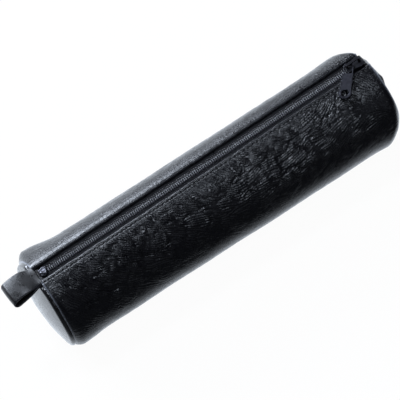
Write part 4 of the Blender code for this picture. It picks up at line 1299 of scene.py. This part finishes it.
# Straps: name, side, centre line and fold gap, then two values for each, a reach past the pouch's end and a height
for word, side, line, gap, bent, height in (
    ("left", -1, left_line, LEFT_LOOP_GAP, 0.0032, 0.053), ("right", 1, right_line, RIGHT_LOOP_GAP, 0.0028, 0.0525),
):
    strap = make_strap(word + "_strap_leather", line, gap, side)
    dress(strap, strap_leather, None, [word + "_loop"])
    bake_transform(strap)

# Metal parts, which keep their solids
for node, material, width in (
    ("slider_body", slider_metal, 0.00012),
    ("front_top_stop", stop_metal, 0.00008), ("back_top_stop", stop_metal, 0.00008),
):
    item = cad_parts[node]
    coat(item, material)
    weld = item.modifiers.new("weld", "WELD")
    weld.merge_threshold = SAME_PLACE
    round_off = item.modifiers.new("round_off", "BEVEL")
    round_off.width = width
    round_off.segments = 2
    round_off.limit_method = "ANGLE"
    round_off.angle_limit = math.radians(30)


# Camera, placed to give the photograph's view

VIEW_AZIMUTH = math.radians(-12.80)
VIEW_ELEVATION = math.radians(49.85)
VIEW_ROLL = math.radians(-22.75)
VIEW_DISTANCE = 1.700
VIEW_FOCUS = 3052.8
VIEW_OFFSET = (13.83, -5.36)
PHOTO_WIDTH = 400
SENSOR = 36.0
LOOKED_AT = Vector((0, 0, 0.027))

toward = Vector((math.sin(VIEW_AZIMUTH) * math.cos(VIEW_ELEVATION),
                 -math.cos(VIEW_AZIMUTH) * math.cos(VIEW_ELEVATION), math.sin(VIEW_ELEVATION)))
level = (-toward).cross(Vector((0, 0, 1))).normalized()
rise = level.cross(-toward)
view_right = level * math.cos(VIEW_ROLL) + rise * math.sin(VIEW_ROLL)
view_up = rise * math.cos(VIEW_ROLL) - level * math.sin(VIEW_ROLL)
pixel = VIEW_DISTANCE / VIEW_FOCUS
middle = LOOKED_AT - (view_right * VIEW_OFFSET[0] - view_up * VIEW_OFFSET[1]) * pixel
camera_data = bpy.data.cameras.new("camera")
camera_data.sensor_width = SENSOR
camera_data.lens = VIEW_FOCUS * SENSOR / PHOTO_WIDTH
camera_data.clip_end = 30
camera = add_object("camera", camera_data)
axes = Matrix((view_right, view_up, toward)).transposed().to_4x4()
camera.matrix_world = Matrix.Translation(middle + toward * VIEW_DISTANCE) @ axes
bpy.context.scene.camera = camera


# Floor, lamps and world

def sees_background(tree):
    """1 for rays from the camera, off gloss or through glass, 0 for the rest."""
    path = put(tree, "LightPath")
    first = maths(tree, "MAXIMUM", path.outputs["Is Camera Ray"], path.outputs["Is Glossy Ray"])
    return maths(tree, "MAXIMUM", first, path.outputs["Is Transmission Ray"])


FLOOR_SIZE = 6
FLOOR_DROP = 0.0002
FLOOR_WHITE = 0.90
FLOOR_SHINE = 0.965

# Painted light on the floor, from this Y to that: in what the pouch mirrors and in light bounced off the floor, the
# floor in front of it is dark as a painted shadow, and in gloss the floor behind it has a painted glow
FLOOR_PAINTED_SHADOW = 0.10
PAINTED_SHADOW_BAND = (-0.035, 0.010)
GLARE_BAND = (-0.044, -0.014)
GLARE_SHARE = 0.95
GLARE = 1.7
GLARE_COLOUR = (0.84, 0.91, 1.0)

floor_mesh = bpy.data.meshes.new("floor")
shape = bmesh.new()
bmesh.ops.create_grid(shape, x_segments=8, y_segments=8, size=FLOOR_SIZE)
shape.to_mesh(floor_mesh)
shape.free()
floor = add_object("floor", floor_mesh)
floor.location = (0, 0, -FLOOR_DROP)
floor_material = bpy.data.materials.new("pale_floor")
tree = cleared_tree(floor_material)
along = split(tree, put(tree, "TexCoord").outputs["Object"])[1]
camera_ray = put(tree, "LightPath").outputs["Is Camera Ray"]
# Painted shadow: to all rays but the camera's, the floor in front of the pouch is dark.
pale = ranged(tree, along, *PAINTED_SHADOW_BAND, FLOOR_PAINTED_SHADOW, FLOOR_WHITE)
pale = maths(tree, "MAXIMUM", times(tree, camera_ray, FLOOR_WHITE), pale)
matt = put(tree, "BsdfDiffuse", None, {"Color": pale})
# Painted glow: gloss sees the floor behind the pouch shine brighter than white, though it is no lamp.
glare = ranged(tree, camera_ray, 0, 1, GLARE, 1.0)
bright = put(tree, "Emission", None, {"Color": mixed(tree, camera_ray, GLARE_COLOUR, (1, 1, 1)), "Strength": glare})
mirrored = times(tree, sees_background(tree), ranged(tree, along, *GLARE_BAND, 0.0, GLARE_SHARE))
share = maths(tree, "MAXIMUM", mirrored, times(tree, camera_ray, FLOOR_SHINE))
blend_node = put(tree, "MixShader", None, {0: share, 1: matt.outputs[0], 2: bright.outputs[0]})
put(tree, "OutputMaterial", None, {"Surface": blend_node.outputs[0]})
floor.data.materials.append(floor_material)

# The backdrop is white to the camera. In gloss, the room is darker towards the front.
AMBIENT = 0.07
ROOM_BAND = (0.15, 0.80)
ROOM_FRONT = 0.05
ROOM_BACK = 0.25
world = bpy.data.worlds.new("studio")
bpy.context.scene.world = world
tree = cleared_tree(world)
heading = split(tree, put(tree, "TexCoord").outputs["Generated"])[1]
room = ranged(tree, heading, *ROOM_BAND, ROOM_FRONT, ROOM_BACK)
level = maths(tree, "MAXIMUM", put(tree, "LightPath").outputs["Is Camera Ray"], room)
ambient = put(tree, "Background", {"Color": (1, 1, 1, 1), "Strength": AMBIENT})
backdrop = put(tree, "Background", {"Color": (1, 1, 1, 1)}, {"Strength": level})
blend_node = put(tree, "MixShader", None, {0: sees_background(tree), 1: ambient.outputs[0], 2: backdrop.outputs[0]})
put(tree, "OutputWorld", None, {"Surface": blend_node.outputs[0]})

# Name, place, what it is aimed at, width, height and power of each lamp
COOL = (0.79, 0.87, 1.0)
for name, place, aim, width, height, power in (
    ("top_lamp", (-0.05, 0.42, 1.42), (0, 0, 0.03), 0.26, 0.26, 9.5),
    ("front_lamp", (0.10, -0.56, 1.40), (0, 0, 0.03), 0.50, 0.22, 4.4),
    ("back_lamp", (-0.35, 1.45, 0.74), (0, 0.05, 0.03), 1.1, 0.5, 34.0),
    ("horizon_lamp", (0.1, 1.70, 0.30), (0, 0, 0.05), 2.8, 0.3, 3.0),
    ("low_lamp", (0.10, -1.25, 0.62), (0, 0, 0.03), 1.5, 0.40, 0.8),
    ("side_lamp", (-0.92, 1.26, 1.30), (-0.12, 0, 0.05), 0.26, 0.26, 6.0),
):
    light = bpy.data.lights.new(name, "AREA")
    light.shape = "RECTANGLE"
    light.size = width
    light.size_y = height
    light.energy = power
    light.color = COOL
    lamp = add_object(name, light)
    lamp.location = place
    lamp.rotation_euler = (Vector(aim) - Vector(place)).to_track_quat("-Z", "Y").to_euler()
    lamp.visible_camera = False

bpy.context.scene.view_settings.view_transform = "Standard"
